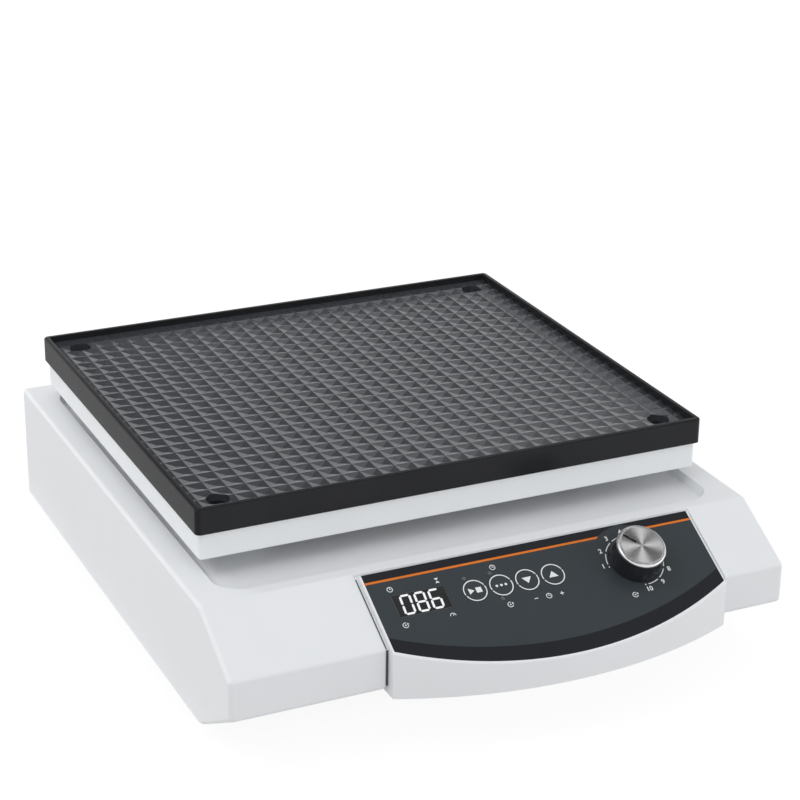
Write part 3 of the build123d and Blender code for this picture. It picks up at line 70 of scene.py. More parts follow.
def add_node(tree, kind, values=None, links=None, **settings):
    # A shader node, with values set on its inputs and other nodes' outputs joined to them
    made = tree.nodes.new("ShaderNode" + kind)
    for name, value in settings.items():
        setattr(made, name, value)
    for name, value in (values or {}).items():
        made.inputs[name].default_value = value
    for name, output in (links or {}).items():
        tree.links.new(output, made.inputs[name])
    return made


def noise(tree, coords, scale, detail=3.0):
    values = {"Scale": scale, "Detail": detail}
    return add_node(tree, "TexNoise", values, {"Vector": coords}).outputs["Fac"]


def between(tree, factor, low, high, at=(0.3, 0.7)):
    # Turns a factor from one range into another
    values = {"From Min": at[0], "From Max": at[1], "To Min": low, "To Max": high}
    return add_node(tree, "MapRange", values, {"Value": factor}).outputs["Result"]


def colours(tree, factor, low, high, at=(0.3, 0.7)):
    ramp = add_node(tree, "ValToRGB", links={"Fac": factor})
    for element, position, colour in zip(ramp.color_ramp.elements, at, (low, high)):
        element.position = position
        element.color = (*colour, 1)
    return ramp.outputs["Color"]


def relief(tree, height, depth, under=None):
    links = {"Height": height}
    if under is not None:
        links["Normal"] = under
    values = {"Strength": 1.0, "Distance": depth * MM}
    return add_node(tree, "Bump", values, links).outputs["Normal"]


def stretched(tree, coords, factors):
    return add_node(tree, "Mapping", {"Scale": factors}, {"Vector": coords}).outputs["Vector"]


def blank_material(name):
    material = bpy.data.materials.new(name)
    material.use_nodes = True
    tree = material.node_tree
    return material, tree, tree.nodes["Principled BSDF"]


def dusted(tree, coords, painted, scale, share, colour):
    # Fine spots of another colour over the painted one
    dust = noise(tree, coords, scale, 2.0)
    links = {"Factor": between(tree, dust, 0.0, share, (0.55, 0.8)), "A": painted}
    mix = add_node(tree, "Mix", {"B": (*colour, 1)}, links, data_type="RGBA")
    return mix.outputs["Result"]


def finish(name, colour, rough, metal=0.0, specular=0.5, grain=(900, 0.01), mottle=(60, 0.03),
           spread=0.04, brushed=None, speckle=None, round_edge=0.0):
    # One moulded, coated or machined finish: its colour and gloss vary a little over a fine
    # relief. grain: scale, depth. mottle: scale, share of the colour. spread: of the
    # roughness. speckle: scale, share, colour. brushed: stretch of the grain.
    material, tree, shader = blank_material(name)
    shader.inputs["Metallic"].default_value = metal
    shader.inputs["Specular IOR Level"].default_value = specular
    coords = add_node(tree, "TexCoord").outputs["Object"]
    base = Vector(colour)
    clouds = noise(tree, coords, mottle[0])
    painted = colours(tree, clouds, base * (1 - mottle[1]), base * (1 + mottle[1]))
    if speckle:
        painted = dusted(tree, coords, painted, *speckle)
    tree.links.new(painted, shader.inputs["Base Color"])
    fine_coords = stretched(tree, coords, brushed) if brushed else coords
    fine = noise(tree, fine_coords, grain[0], 2.0)
    gloss = between(tree, fine, rough - spread, rough + spread)
    tree.links.new(gloss, shader.inputs["Roughness"])
    under = None
    if round_edge:
        edge = add_node(tree, "Bevel", {"Radius": round_edge * MM}, samples=4)
        under = edge.outputs["Normal"]
    tree.links.new(relief(tree, fine, grain[1], under), shader.inputs["Normal"])
    return material


LOOKS = {
    "housing": dict(colour=(0.885, 0.895, 0.91), rough=0.36, specular=0.42,
                    grain=(1500, 0.006), mottle=(14, 0.012)),
    "carrier": dict(colour=(0.90, 0.915, 0.925), rough=0.40, specular=0.4,
                    grain=(1500, 0.005), mottle=(14, 0.012), round_edge=0.6),
    "tray_black": dict(colour=(0.018, 0.0185, 0.0205), rough=0.22, specular=0.16,
                       grain=(1100, 0.004), mottle=(25, 0.10), round_edge=0.6),
    "mat_rubber": dict(colour=(0.046, 0.049, 0.057), rough=0.20, specular=0.45,
                       grain=(900, 0.005), mottle=(70, 0.08),
                       speckle=(1400, 0.3, (0.07, 0.072, 0.08)), round_edge=0.35),
    "foot_rubber": dict(colour=(0.03, 0.03, 0.032), rough=0.62, specular=0.3,
                        grain=(800, 0.03)),
    "film": dict(colour=(0.040, 0.050, 0.057), rough=0.34, specular=0.35,
                 grain=(2200, 0.004), mottle=(30, 0.03), spread=0.03),
    "key": dict(colour=(0.041, 0.051, 0.058), rough=0.33, specular=0.35,
                grain=(2200, 0.004), spread=0.03),
    "window": dict(colour=(0.008, 0.008, 0.009), rough=0.12, specular=0.35,
                   grain=(300, 0.001), mottle=(40, 0.1), spread=0.02),
    "display": dict(colour=(0.03, 0.03, 0.032), rough=0.5),
    "lamp": dict(colour=(0.12, 0.13, 0.13), rough=0.3, grain=(700, 0.004), mottle=(400, 0.1)),
    "knob_black": dict(colour=(0.016, 0.017, 0.021), rough=0.30, specular=0.4,
                       grain=(1300, 0.005), mottle=(80, 0.08)),
    "knob_metal": dict(colour=(0.78, 0.78, 0.79), rough=0.25, metal=1.0, grain=(900, 0.002)),
    "steel": dict(colour=(0.60, 0.61, 0.63), rough=0.30, metal=1.0, grain=(700, 0.01),
                  mottle=(90, 0.05)),
    "plate_steel": dict(colour=(0.42, 0.43, 0.44), rough=0.45, grain=(600, 0.02),
                        mottle=(20, 0.04)),
    "cast": dict(colour=(0.62, 0.62, 0.63), rough=0.42, metal=1.0, grain=(500, 0.03),
                 mottle=(30, 0.06)),
    "iron": dict(colour=(0.14, 0.14, 0.145), rough=0.5, metal=0.6, grain=(500, 0.04),
                 mottle=(40, 0.12)),
    "bronze": dict(colour=(0.62, 0.40, 0.17), rough=0.33, metal=1.0, grain=(700, 0.01),
                   mottle=(90, 0.08)),
    "ring_steel": dict(colour=(0.72, 0.72, 0.73), rough=0.16, metal=1.0, grain=(500, 0.002)),
    "belt": dict(colour=(0.02, 0.02, 0.02), rough=0.6, grain=(500, 0.03), brushed=(1, 1, 12)),
    "motor": dict(colour=(0.32, 0.33, 0.34), rough=0.38, metal=0.8, grain=(600, 0.01),
                  mottle=(40, 0.06)),
    "board": dict(colour=(0.02, 0.11, 0.05), rough=0.35, mottle=(300, 0.2)),
    "component": dict(colour=(0.05, 0.05, 0.055), rough=0.45, grain=(700, 0.01),
                      mottle=(120, 0.2)),
    "inlet_black": dict(colour=(0.022, 0.022, 0.023), rough=0.42, specular=0.4,
                        grain=(900, 0.012)),
    "pin_metal": dict(colour=(0.70, 0.69, 0.66), rough=0.25, metal=1.0, grain=(600, 0.004)),
    "print_white": dict(colour=(0.86, 0.87, 0.87), rough=0.45, specular=0.3,
                        grain=(2500, 0.003), mottle=(500, 0.06)),
    "print_orange": dict(colour=(0.78, 0.19, 0.014), rough=0.42, specular=0.3,
                         grain=(2500, 0.003), mottle=(300, 0.05)),
    "print_dark": dict(colour=(0.012, 0.0135, 0.018), rough=0.34, specular=0.35,
                       grain=(2200, 0.004), mottle=(30, 0.05)),
    "print_black": dict(colour=(0.006, 0.006, 0.006), rough=0.5, specular=0.12,
                        grain=(2200, 0.003), mottle=(300, 0.1)),
    "window_edge": dict(colour=(0.085, 0.092, 0.095), rough=0.3, specular=0.3,
                        grain=(1500, 0.003), mottle=(300, 0.06)),
    "digit_white": dict(colour=(0.85, 0.87, 0.88), rough=0.4, grain=(1500, 0.002),
                        mottle=(400, 0.03)),
    # Painted shade: the dark strip laid in the console's groove
    "painted_groove_shade": dict(colour=(0.085, 0.088, 0.093), rough=0.55, specular=0.3, grain=(800, 0.02)),
}


def spun_aluminium():
    # Grooves round the axis, and highlights drawn out across them
    material, tree, shader = blank_material("spun_aluminium")
    shader.inputs["Metallic"].default_value = 1.0
    shader.inputs["Anisotropic"].default_value = 0.92
    coords = add_node(tree, "TexCoord").outputs["Object"]
    flat = stretched(tree, coords, (1, 1, 0))
    radius = add_node(tree, "VectorMath", links={0: flat}, operation="LENGTH").outputs["Value"]
    grooves = add_node(tree, "TexNoise", {"Scale": 4200.0, "Detail": 3.0}, {"W": radius},
                       noise_dimensions="1D").outputs["Fac"]
    tangent = add_node(tree, "Tangent", direction_type="RADIAL", axis="Z").outputs["Tangent"]
    metal = colours(tree, grooves, (0.70, 0.70, 0.71), (0.80, 0.80, 0.81))
    tree.links.new(metal, shader.inputs["Base Color"])
    tree.links.new(between(tree, grooves, 0.20, 0.27), shader.inputs["Roughness"])
    tree.links.new(tangent, shader.inputs["Tangent"])
    tree.links.new(relief(tree, grooves, 0.001), shader.inputs["Normal"])
    return material


FINISHES = {name: finish(name, **look) for name, look in LOOKS.items()}
FINISHES["spun_aluminium"] = spun_aluminium()

# The digits behind the window are lit
lit_digit = FINISHES["digit_white"].node_tree.nodes["Principled BSDF"]
lit_digit.inputs["Emission Color"].default_value = (0.95, 0.98, 1.0, 1)
lit_digit.inputs["Emission Strength"].default_value = 0.22

for row in frame["record"]["subparts"]:
    node = nodes[row["node"]]
    for place in node.material_slots:
        place.material = FINISHES[row["material_slot"]]


def add_piece(name, bm, look, body, matrix, smooth=False):
    bmesh.ops.recalc_face_normals(bm, faces=bm.faces)
    mesh = bpy.data.meshes.new(name)
    bm.to_mesh(mesh)
    bm.free()
    if smooth:
        for face in mesh.polygons:
            face.use_smooth = True
    piece = bpy.data.objects.new(name, mesh)
    bpy.context.scene.collection.objects.link(piece)
    mesh.materials.append(FINISHES[look])
    piece.matrix_world = matrix
    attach(piece, body)
    return piece


def slab(bm, outline, low, high):
    # A closed slab over an outline of (x, s) points, from low to high above the face
    rings = [[bm.verts.new((x * MM, -s * MM, z * MM)) for x, s in outline] for z in (low, high)]
    bm.faces.new(rings[0])
    bm.faces.new(rings[1])
    count = len(outline)
    for i in range(count):
        j = (i + 1) % count
        bm.faces.new((rings[0][i], rings[0][j], rings[1][j], rings[1][i]))


def arc(cx, cs, radius, start, end, steps):
    # Points on a circle; angles in degrees, 0 to the right and 90 up the slope
    turns = [radians(start + (end - start) * i / steps) for i in range(steps + 1)]
    return [(cx + radius * cos(t), cs - radius * sin(t)) for t in turns]


def sector(cx, cs, radius, width, start, end, steps):
    # A curved line of some width
    outer = arc(cx, cs, radius + width / 2, start, end, steps)
    inner = arc(cx, cs, radius - width / 2, end, start, steps)
    return outer + inner


def dot(cx, cs, radius, steps=15):
    return arc(cx, cs, radius, 0, 345, steps)


def bar(x1, s1, x2, s2, width):
    # A straight line of some width
    dx, ds = x2 - x1, s2 - s1
    run = sqrt(dx * dx + ds * ds)
    nx, ns = -ds / run * width / 2, dx / run * width / 2
    return [(x1 + nx, s1 + ns), (x2 + nx, s2 + ns), (x2 - nx, s2 - ns), (x1 - nx, s1 - ns)]


def rectangle(left, top, right, low):
    return [(left, top), (right, top), (right, low), (left, low)]


def moved(outline, x, s):
    return [(px + x, ps + s) for px, ps in outline]


# Heights of prints above the film and above the keys, as (low, high)
ON_FILM = (-0.01, 0.035)
ON_KEY = (0.19, 0.23)


def prints(name, outlines, look, body="base", levels=ON_FILM, matrix=FACE_MATRIX):
    bm = bmesh.new()
    for outline in outlines:
        slab(bm, outline, *levels)
    return add_piece(name, bm, look, body, matrix)


# The film's dark bands and orange line, with a round gap left for the dial
FILM_SIDE, FILM_TOP = 96.3, 3.25
DIAL_ROOM = 23.1
LINE_S, LINE_WIDTH = 8.7, 1.3
LINE_TOP, LINE_LOW = LINE_S - LINE_WIDTH / 2, LINE_S + LINE_WIDTH / 2
BAND_STEPS = (FILM_TOP, 4.5, 5.8, 7.0, LINE_TOP)


def film_front(x, inset):
    # Lower edge of the film: the arc of the console's plan, laid on the slope
    chord, rise = 96.4, 20.1
    apex_y, face_top_y = -186.4, -122.06
    radius = (chord * chord + rise * rise) / (2 * rise)
    plan_y = apex_y + radius - sqrt(radius * radius - x * x)
    return (face_top_y - plan_y) / cos(slope) - inset


def gap_edge(side, s):
    # Edge of the dial's gap at a place down the slope, left (-1) or right (1) of the knob
    return (KNOB_X + side * sqrt(max(DIAL_ROOM * DIAL_ROOM - (KNOB_S - s) ** 2, 0.0)), s)


left_gap = [gap_edge(-1, s) for s in BAND_STEPS]
right_gap = [gap_edge(1, s) for s in BAND_STEPS]
band_left = [(-FILM_SIDE, FILM_TOP)] + left_gap + [(-FILM_SIDE, LINE_TOP)]
band_right = right_gap + [(FILM_SIDE, LINE_TOP), (FILM_SIDE, FILM_TOP)]
line_left = [(-FILM_SIDE, LINE_TOP), gap_edge(-1, LINE_TOP),
             gap_edge(-1, LINE_LOW), (-FILM_SIDE, LINE_LOW)]
line_right = [gap_edge(1, LINE_TOP), (FILM_SIDE, LINE_TOP),
              (FILM_SIDE, LINE_LOW), gap_edge(1, LINE_LOW)]
prints("panel_band_top_left", [band_left], "print_dark")
prints("panel_band_top_right", [band_right], "print_dark")
prints("panel_line_left", [line_left], "print_orange")
prints("panel_line_right", [line_right], "print_orange")

BAND_COUNT, BAND_INSET, BAND_DEPTH, BAND_SWELL = 48, 0.1, 8.3, 0.7
band_x = [-FILM_SIDE + 2 * FILM_SIDE * i / BAND_COUNT for i in range(BAND_COUNT + 1)]
outer_edge = [(x, film_front(x, BAND_INSET)) for x in band_x]
inner_edge = [
    (x, film_front(x, BAND_DEPTH + BAND_SWELL * cos(x / FILM_SIDE * pi / 2)))
    for x in reversed(band_x)
]
prints("panel_band_low", [outer_edge + inner_edge], "print_dark")

# Rings round the keys, each in two arcs, and the keys' marks
RING_RADIUS, RING_WIDTH = 6.25, 0.6
RING_ARCS = ((22, 196), (202, 376))
MARKS = {
    "start_stop": [[(-3.6, -1.9), (-0.4, 0.0), (-3.6, 1.9)], rectangle(0.5, -1.6, 3.7, 1.6)],
    "select": [dot(x, 0.0, 0.75, 23) for x in (-2.6, 0.0, 2.6)],
    "down": [[(-2.7, -1.6), (2.7, -1.6), (0.0, 2.2)]],
    "up": [[(-2.7, 1.6), (0.0, -2.2), (2.7, 1.6)]],
}
for key, x in KEYS.items():
    ring = [sector(x, KEY_S, RING_RADIUS, RING_WIDTH, *ends, 44) for ends in RING_ARCS]
    prints(f"{key}_ring", ring, "print_white", key, ON_KEY)
for key, x in KEYS.items():
    mark = [moved(outline, x, KEY_S) for outline in MARKS[key]]
    prints(f"{key}_mark", mark, "print_white", key, ON_KEY)

# Small signs beside the window, the keys and the knob
SIGN_RADIUS, SIGN_LINE, HAND_LINE = 1.45, 0.4, 0.36


def clock(x, s):
    # A round dial with two hands
    face = sector(x, s, SIGN_RADIUS, SIGN_LINE, 90, 449, 32)
    return [face, bar(x, s + 0.1, x, s - 0.95, HAND_LINE), bar(x, s, x + 0.8, s, HAND_LINE)]


def orbit(x, s):
    # A round arrow about a dot
    tip = moved([(1.45, -1.3), (2.15, -0.2), (0.75, -0.2)], x, s)
    return [sector(x, s, SIGN_RADIUS, SIGN_LINE, 60, 345, 30), tip, dot(x, s, 0.45)]


def hourglass(x, s):
    upper = [(-1.2, -1.5), (1.2, -1.5), (0.0, -0.1)]
    lower = [(0.0, 0.1), (1.2, 1.5), (-1.2, 1.5)]
    return [moved(upper, x, s), moved(lower, x, s)]


def gauge(x, s):
    # Half a dial with its needle
    centre = s + 0.6
    needle = bar(x, centre, x + 0.75, s - 0.35, HAND_LINE)
    return [sector(x, centre, 1.5, SIGN_LINE, 0, 180, 20), needle]


def minus(x, s):
    return [bar(x - 1.1, s, x + 1.1, s, 0.42)]


def plus(x, s):
    return minus(x, s) + [bar(x, s - 1.1, x, s - 0.22, 0.42), bar(x, s + 0.22, x, s + 1.1, 0.42)]


SIGNS = (
    (hourglass, -58.4, 14.8), (gauge, -58.2, 36.6), (clock, -84.8, 14.6), (orbit, -84.8, 37.0),
    (clock, -25.9, 13.8), (orbit, -25.7, 37.8), (minus, -10.6, 37.4), (clock, -3.1, 37.4),
    (plus, 4.5, 37.4), (orbit, 43.5, 47.6),
)
signs = [outline for sign, x, s in SIGNS for outline in sign(x, s)]
prints("panel_marks", signs, "print_white")

# Dial round the knob: an arc in nine pieces with a dot at each end, and ten numerals
ARC_RADIUS, ARC_LINE, NUMERAL_RADIUS = 15.9, 0.55, 18.9
STEP_ANGLE, GAP_ANGLE = 30, 3
NUMERAL_SIZE, NUMERAL_BOLD, NUMERAL_HALF, NUMERAL_LIFT = 3.9, 0.10, 0.02, 0.015
dial = []
for step in range(9):
    start = 180 - STEP_ANGLE * step
    ends = (start - GAP_ANGLE, start - STEP_ANGLE + GAP_ANGLE)
    dial.append(sector(KNOB_X, KNOB_S, ARC_RADIUS, ARC_LINE, *ends, 10))
for angle in (183.5, -93.5):
    place = arc(KNOB_X, KNOB_S, ARC_RADIUS, angle, angle, 1)[0]
    dial.append(dot(*place, 0.4))
prints("dial_arc", dial, "print_white")


def numeral_mesh(number):
    curve = bpy.data.curves.new(f"numeral_{number}", "FONT")
    curve.body = str(number)
    curve.size = NUMERAL_SIZE * MM
    curve.align_x, curve.align_y = "CENTER", "CENTER"
    curve.extrude = NUMERAL_HALF * MM
    curve.offset = NUMERAL_BOLD * MM
    curve.resolution_u = 6
    text = bpy.data.objects.new(f"numeral_{number}", curve)
    bpy.context.scene.collection.objects.link(text)
    bpy.context.view_layer.update()
    mesh = bpy.data.meshes.new_from_object(text)
    bpy.data.objects.remove(text)
    return mesh


numerals = bmesh.new()
for number in range(1, 11):
    angle = 180 - STEP_ANGLE * (number - 1)
    x, s = arc(KNOB_X, KNOB_S, NUMERAL_RADIUS, angle, angle, 1)[0]
    mesh = numeral_mesh(number)
    mesh.transform(Matrix.Translation(Vector((x, -s, NUMERAL_LIFT)) * MM))
    numerals.from_mesh(mesh)
    bpy.data.meshes.remove(mesh)
add_piece("dial_numerals", numerals, "print_white", "base", FACE_MATRIX)

# Display: a paler edge round the window, and three digits of seven segments behind it
WINDOW_X, WINDOW_S, WINDOW_WIDTH, WINDOW_HEIGHT, WINDOW_EDGE = -71.0, 25.2, 30.2, 14.2, 0.4
EDGE_LEVELS, DIGIT_LEVELS = (-0.12, -0.07), (-0.11, -0.06)
left, right = WINDOW_X - WINDOW_WIDTH / 2, WINDOW_X + WINDOW_WIDTH / 2
top, low = WINDOW_S - WINDOW_HEIGHT / 2, WINDOW_S + WINDOW_HEIGHT / 2
inner_top, inner_low = top + WINDOW_EDGE, low - WINDOW_EDGE
window_edges = [
    rectangle(left, top, right, inner_top),
    rectangle(left, inner_low, right, low),
    rectangle(left, inner_top, left + WINDOW_EDGE, inner_low),
    rectangle(right - WINDOW_EDGE, inner_top, right, inner_low),
]
prints("window_edge", window_edges, "window_edge", levels=EDGE_LEVELS)

# Each segment's two ends, as (column, row) of a digit two columns wide and three rows high
SEGMENTS = {
    "top": ((0, 0), (1, 0)), "middle": ((0, 1), (1, 1)), "low": ((0, 2), (1, 2)),
    "left_high": ((0, 0), (0, 1)), "left_low": ((0, 1), (0, 2)),
    "right_high": ((1, 0), (1, 1)), "right_low": ((1, 1), (1, 2)),
}
LIT = {
    "0": ("top", "low", "left_high", "left_low", "right_high", "right_low"),
    "8": tuple(SEGMENTS),
    "6": ("top", "middle", "low", "left_high", "left_low", "right_low"),
}
READING = "086"
DIGIT_WIDTH, DIGIT_HEIGHT, DIGIT_PITCH = 5.2, 11.1, 8.0
SEGMENT_WIDTH, SEGMENT_CUT, LEAN = 1.2, 0.2, 0.05


def segment(x1, s1, x2, s2):
    # A bar with pointed ends that stops short of its corners, leaning a little to the right
    run = sqrt((x2 - x1) ** 2 + (s2 - s1) ** 2)
    ux, us = (x2 - x1) / run, (s2 - s1) / run
    half, cut = SEGMENT_WIDTH / 2, SEGMENT_CUT
    near, far = cut + half, run - cut - half
    shape = []
    for along, side in ((cut, 0), (near, 1), (far, 1), (run - cut, 0), (far, -1), (near, -1)):
        x = x1 + ux * along - us * half * side
        s = s1 + us * along + ux * half * side
        shape.append((x + LEAN * (WINDOW_S - s), s))
    return shape


digits = []
for number, figure in enumerate(READING):
    left = WINDOW_X + (number - 1) * DIGIT_PITCH - DIGIT_WIDTH / 2
    top = WINDOW_S - DIGIT_HEIGHT / 2
    for name in LIT[figure]:
        corners = []
        for column, row in SEGMENTS[name]:
            corners += [left + column * DIGIT_WIDTH, top + row * DIGIT_HEIGHT / 2]
        digits.append(segment(*corners))
prints("display_digits", digits, "digit_white", levels=DIGIT_LEVELS)


def turned(bm, profile, around, cx=0.0, cy=0.0):
    # Turns a profile of (radius, height) points about an upright axis; radius 0 is a point
    rings = []
    for radius, height in profile:
        count = around if radius > 0.0 else 1
        turns = [2 * pi * k / around for k in range(count)]
        places = [(cx + radius * cos(t), cy + radius * sin(t), height) for t in turns]
        rings.append([bm.verts.new(Vector(place) * MM) for place in places])
    for low, high in zip(rings, rings[1:]):
        for k in range(around):
            j = (k + 1) % around
            if len(low) == 1:
                bm.faces.new((low[0], high[k], high[j]))
            elif len(high) == 1:
                bm.faces.new((low[k], low[j], high[0]))
            else:
                bm.faces.new((low[k], high[k], high[j], low[j]))
    return rings


# Small domes over the three indicator lights
LIGHTS = ((-43.7, 16.9), (-28.8, 16.9), (-28.2, 33.2))
DOME_RADIUS, DOME_HEIGHT, DOME_STEPS = 1.05, 0.45, 4
dome = []
for step in range(DOME_STEPS):
    tilt = pi / 2 * step / DOME_STEPS
    dome.append((DOME_RADIUS * cos(tilt), DOME_HEIGHT * sin(tilt)))
dome.append((0.0, DOME_HEIGHT))
bm = bmesh.new()
for x, s in LIGHTS:
    bm.faces.new(turned(bm, dome, 24, x, -s)[0])
add_piece("lamp_domes", bm, "lamp", "base", FACE_MATRIX, smooth=True)

# Painted shade: a dark strip down both sides of the console, along the slope, then down the upright
# nose, on the floor of the groove, darkening the groove between console and housing where its shade
# falls
CONSOLE_SIDE, SHADE_INNER, SHADE_OUTER, SHADE_HEIGHT = 97.5, 0.75, 1.3, 0.15
GROOVE_FLOOR, GROOVE_TOP_S, GROOVE_LOW_S = -3.2, 3.0, 46.3
NOSE_LOW_Z, NOSE_HIGH_Z, NOSE_FLOOR_Y = 36.4, 56.6, -161.3
NOSE_MATRIX = facing(Vector((FACE.x, NOSE_FLOOR_Y, 0)), Vector((0, 0, 1)), Vector((0, -1, 0)))
slope_shade_strips, nose_shade_strips = [], []
for side in (-1, 1):
    edge, inner, outer = [side * (CONSOLE_SIDE + gap) for gap in (0, SHADE_INNER, SHADE_OUTER)]
    slope_shade_strips.append(rectangle(inner, GROOVE_TOP_S, outer, GROOVE_LOW_S))
    nose_shade_strips.append(rectangle(edge, -NOSE_LOW_Z, outer, -NOSE_HIGH_Z))
shade_strip_levels = (GROOVE_FLOOR, GROOVE_FLOOR + SHADE_HEIGHT)
prints("console_groove_shade", slope_shade_strips, "painted_groove_shade", levels=shade_strip_levels)
prints("console_groove_shade_nose", nose_shade_strips, "painted_groove_shade", levels=(0, SHADE_HEIGHT),
       matrix=NOSE_MATRIX)

# Knob cap: turned, with fine grooves inside a raised bright edge, in place of the plain disc
CAP_LOW, CAP_HIGH, CAP_RADIUS, CAP_ROUND, CAP_CHAMFER = 11.1, 13.5, 13.6, 1.6, 0.3
DISC_RADIUS, DISC_SINK, DISC_STEPS, GROOVE_RISE, EDGE_INNER = 11.6, 0.12, 40, 0.006, 11.8
ROUND_STEPS = 8
disc_z = CAP_HIGH - DISC_SINK
round_radius, round_z = CAP_RADIUS - CAP_ROUND, CAP_HIGH - CAP_ROUND
profile = [(0.0, disc_z)]
for step in range(1, DISC_STEPS + 1):
    rise = GROOVE_RISE if step % 2 else 0.0
    profile.append((DISC_RADIUS * step / DISC_STEPS, disc_z + rise))
profile += [(EDGE_INNER, CAP_HIGH), (round_radius, CAP_HIGH)]
for step in range(1, ROUND_STEPS + 1):
    turn = pi / 2 * step / ROUND_STEPS
    profile.append((round_radius + CAP_ROUND * sin(turn), round_z + CAP_ROUND * cos(turn)))
profile += [(CAP_RADIUS, CAP_LOW + CAP_CHAMFER), (CAP_RADIUS - CAP_CHAMFER, CAP_LOW)]
profile += [(0.0, CAP_LOW)]
bm = bmesh.new()
turned(bm, profile, 144)
knob_matrix = FACE_MATRIX @ Matrix.Translation(Vector((KNOB_X, -KNOB_S, 0)) * MM)
cap = add_piece("knob_cap_turned", bm, "spun_aluminium", "speed_knob", knob_matrix,
                smooth=True)
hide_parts("knob_cap")

# The cap's black pointer line, set into the disc
POINTER_ANGLE, POINTER_START, POINTER_END, POINTER_WIDTH = 130.5, 3.4, 11.2, 1.1
POINTER_LEVELS = (CAP_HIGH - 0.2, CAP_HIGH - 0.03)
inner_end, outer_end = [
    arc(0, 0, radius, POINTER_ANGLE, POINTER_ANGLE, 1)[0] for radius in (POINTER_START, POINTER_END)
]
pointer = bar(*inner_end, *outer_end, POINTER_WIDTH)
prints("knob_pointer", [pointer], "print_black", "speed_knob", POINTER_LEVELS,
       knob_matrix)


def seen(tree, share):
    # The share of a plain white that camera, glossy and transmission rays see
    path = add_node(tree, "LightPath").outputs
    links = {0: path["Is Camera Ray"], 1: path["Is Glossy Ray"]}
    seen_or_mirrored = add_node(tree, "Math", links=links, operation="MAXIMUM").outputs[0]
    links = {0: seen_or_mirrored, 1: path["Is Transmission Ray"]}
    any_of_three = add_node(tree, "Math", links=links, operation="MAXIMUM").outputs[0]
    return add_node(tree, "Math", {1: share}, {0: any_of_three}, operation="MULTIPLY").outputs[0]


def output(tree, kind, share, plain, white):
    # Ends a node tree with white for the rays that are seen, and the plain shader for the rest
    links = {"Fac": seen(tree, share), 1: plain.outputs[0], 2: white.outputs[0]}
    mix = add_node(tree, "MixShader", links=links)
    add_node(tree, kind, links={"Surface": mix.outputs[0]})


def stage_piece(name, corners, faces, material):
    mesh = bpy.data.meshes.new(name)
    mesh.from_pydata(corners, [], faces)
    mesh.materials.append(material)
    piece = bpy.data.objects.new(name, mesh)
    bpy.context.scene.collection.objects.link(piece)
    return piece


def flat_corners(x1, y1, x2, y2, z):
    return [(x1, y1, z), (x2, y1, z), (x2, y2, z), (x1, y2, z)]


# Stage sizes are in metres
ONE_FACE = [(0, 1, 2, 3)]
WHITE = (1, 1, 1, 1)

# Pale floor that keeps the shadow: most of what is seen of it is even white
FLOOR, FLOOR_GREY, FLOOR_GLOW, FLOOR_SHARE = 30.0, 0.60, 1.15, 0.80
paper, tree, _ = blank_material("floor_paper")
tree.nodes.clear()
diffuse = add_node(tree, "BsdfDiffuse", {"Color": (FLOOR_GREY, FLOOR_GREY, FLOOR_GREY, 1)})
glow = add_node(tree, "Emission", {"Color": WHITE, "Strength": FLOOR_GLOW})
output(tree, "OutputMaterial", FLOOR_SHARE, diffuse, glow)
stage_piece("floor", flat_corners(-FLOOR, -FLOOR, FLOOR, FLOOR, 0), ONE_FACE, paper)

# World: white where it is seen, and a soft light that is stronger low, right and behind
SOFT_COLOUR = (0.83, 0.84, 0.85, 1)
world = bpy.data.worlds.new("studio")
bpy.context.scene.world = world
world.use_nodes = True
tree = world.node_tree
tree.nodes.clear()
direction = add_node(tree, "TexCoord").outputs["Generated"]
axes = add_node(tree, "SeparateXYZ", links={0: direction}).outputs
sideways = between(tree, axes["X"], 1.00, 1.16, (-0.9, 0.9))
backward = between(tree, axes["Y"], 0.91, 1.04, (-0.9, 0.9))
upward = between(tree, axes["Z"], 1.36, 0.80, (0.0, 0.6))
level = sideways
for factor in (backward, upward):
    level = add_node(tree, "Math", links={0: level, 1: factor}, operation="MULTIPLY").outputs[0]
soft = add_node(tree, "Background", {"Color": SOFT_COLOUR}, {"Strength": level})
white = add_node(tree, "Background", {"Color": WHITE})
output(tree, "OutputWorld", 1.0, soft, white)

# Three area lamps, all aimed at the object: place, width, height, watts
AIM = Vector((0, 0, 0.08))
LAMPS = {
    "key_light": ((-1.5, 2.4, 1.4), 0.5, 0.5, 16.0),
    "front_fill": ((1.9, -1.3, 0.45), 1.6, 0.8, 5.0),
    "left_top": ((-1.5, -0.2, 1.9), 1.2, 1.2, 8.0),
}
for name, (place, width, height, watts) in LAMPS.items():
    data = bpy.data.lights.new(name, "AREA")
    data.shape = "RECTANGLE"
    data.size, data.size_y = width, height
    data.energy = watts
    light = bpy.data.objects.new(name, data)
    bpy.context.scene.collection.objects.link(light)
    light.location = place
    light.rotation_mode = "QUATERNION"
    light.rotation_quaternion = (AIM - Vector(place)).to_track_quat("-Z", "Y")
    # The small key light would glare in the mat, so reflections don't show it
    light.visible_glossy = name != "key_light"


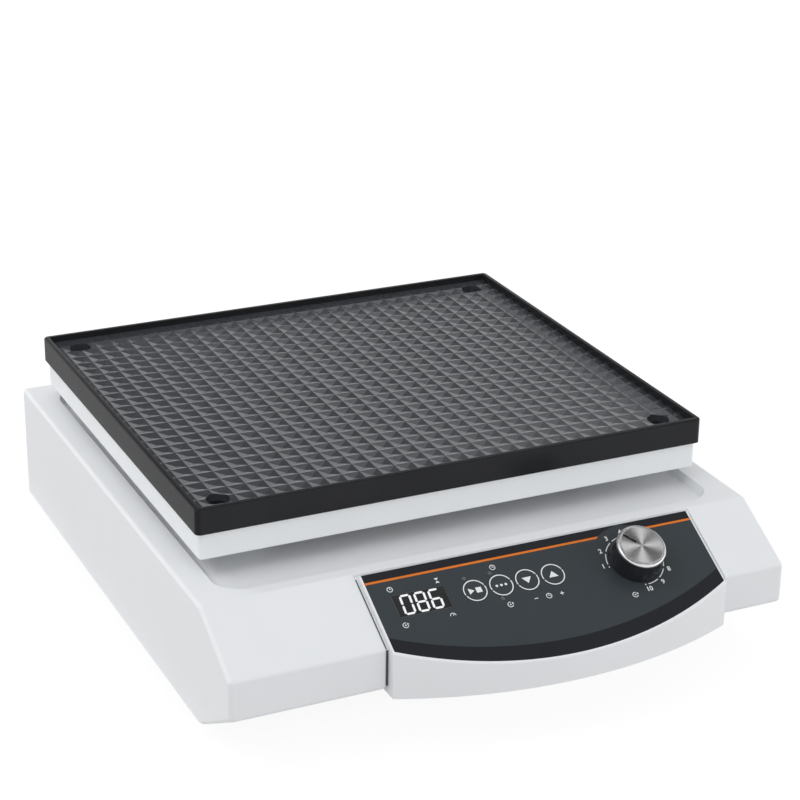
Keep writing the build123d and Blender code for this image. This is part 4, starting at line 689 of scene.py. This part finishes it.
def card(name, corners, faces, shade):
    # A dark card that only reflections see
    material, tree, _ = blank_material(name)
    tree.nodes.clear()
    light = add_node(tree, "Emission", {"Color": WHITE, "Strength": shade})
    add_node(tree, "OutputMaterial", links={"Surface": light.outputs[0]})
    piece = stage_piece(name, corners, faces, material)
    piece.visible_camera = False
    piece.visible_diffuse = False
    piece.visible_transmission = False
    piece.visible_shadow = False
    piece.visible_volume_scatter = False


# Over the knob: four dark wedges, so that the spun cap shows light and dark sectors
CARD_HEIGHT, WEDGE_REACH, WEDGE_HALF = 2.0, 5.0, 27
STAR_X, STAR_Y = 1.11, -0.06
star, wedges = [(STAR_X, STAR_Y, CARD_HEIGHT)], []
for wedge in (37, 126.5, 217, 306.5):
    for side in (-WEDGE_HALF, WEDGE_HALF):
        turn = radians(wedge + side)
        x = STAR_X + WEDGE_REACH * cos(turn)
        y = STAR_Y + WEDGE_REACH * sin(turn)
        star.append((x, y, CARD_HEIGHT))
    wedges.append((0, len(star) - 2, len(star) - 1))
card("card_star", star, wedges, 0.03)

# High behind, for darker facets of the mat, and on the floor at the left, for the tray's side
card("card_back", flat_corners(-3.0, 2.7, 3.5, 4.7, CARD_HEIGHT), ONE_FACE, 0.10)
card("card_side", flat_corners(-0.80, -0.35, -0.17, 0.9, 0.002), ONE_FACE, 0.5)

# Camera, at the place and direction solved from the photograph
CAMERA_PLACE = Vector((-0.4921, -1.0567, 0.6040))
CAMERA_RIGHT = Vector((0.90651, -0.42201, 0.01189))
CAMERA_UP = Vector((0.15253, 0.35365, 0.92286))
camera_data = bpy.data.cameras.new("camera")
camera_data.lens = 101.16
camera_data.sensor_width = 36.0
camera_data.clip_start, camera_data.clip_end = 0.05, 100.0
camera = bpy.data.objects.new("camera", camera_data)
bpy.context.scene.collection.objects.link(camera)
camera_back = CAMERA_RIGHT.cross(CAMERA_UP)
axes = [[CAMERA_RIGHT[i], CAMERA_UP[i], camera_back[i]] for i in range(3)]
camera.matrix_world = Matrix.Translation(CAMERA_PLACE) @ Matrix(axes).to_4x4()
bpy.context.scene.camera = camera
bpy.context.scene.view_settings.view_transform = "Standard"
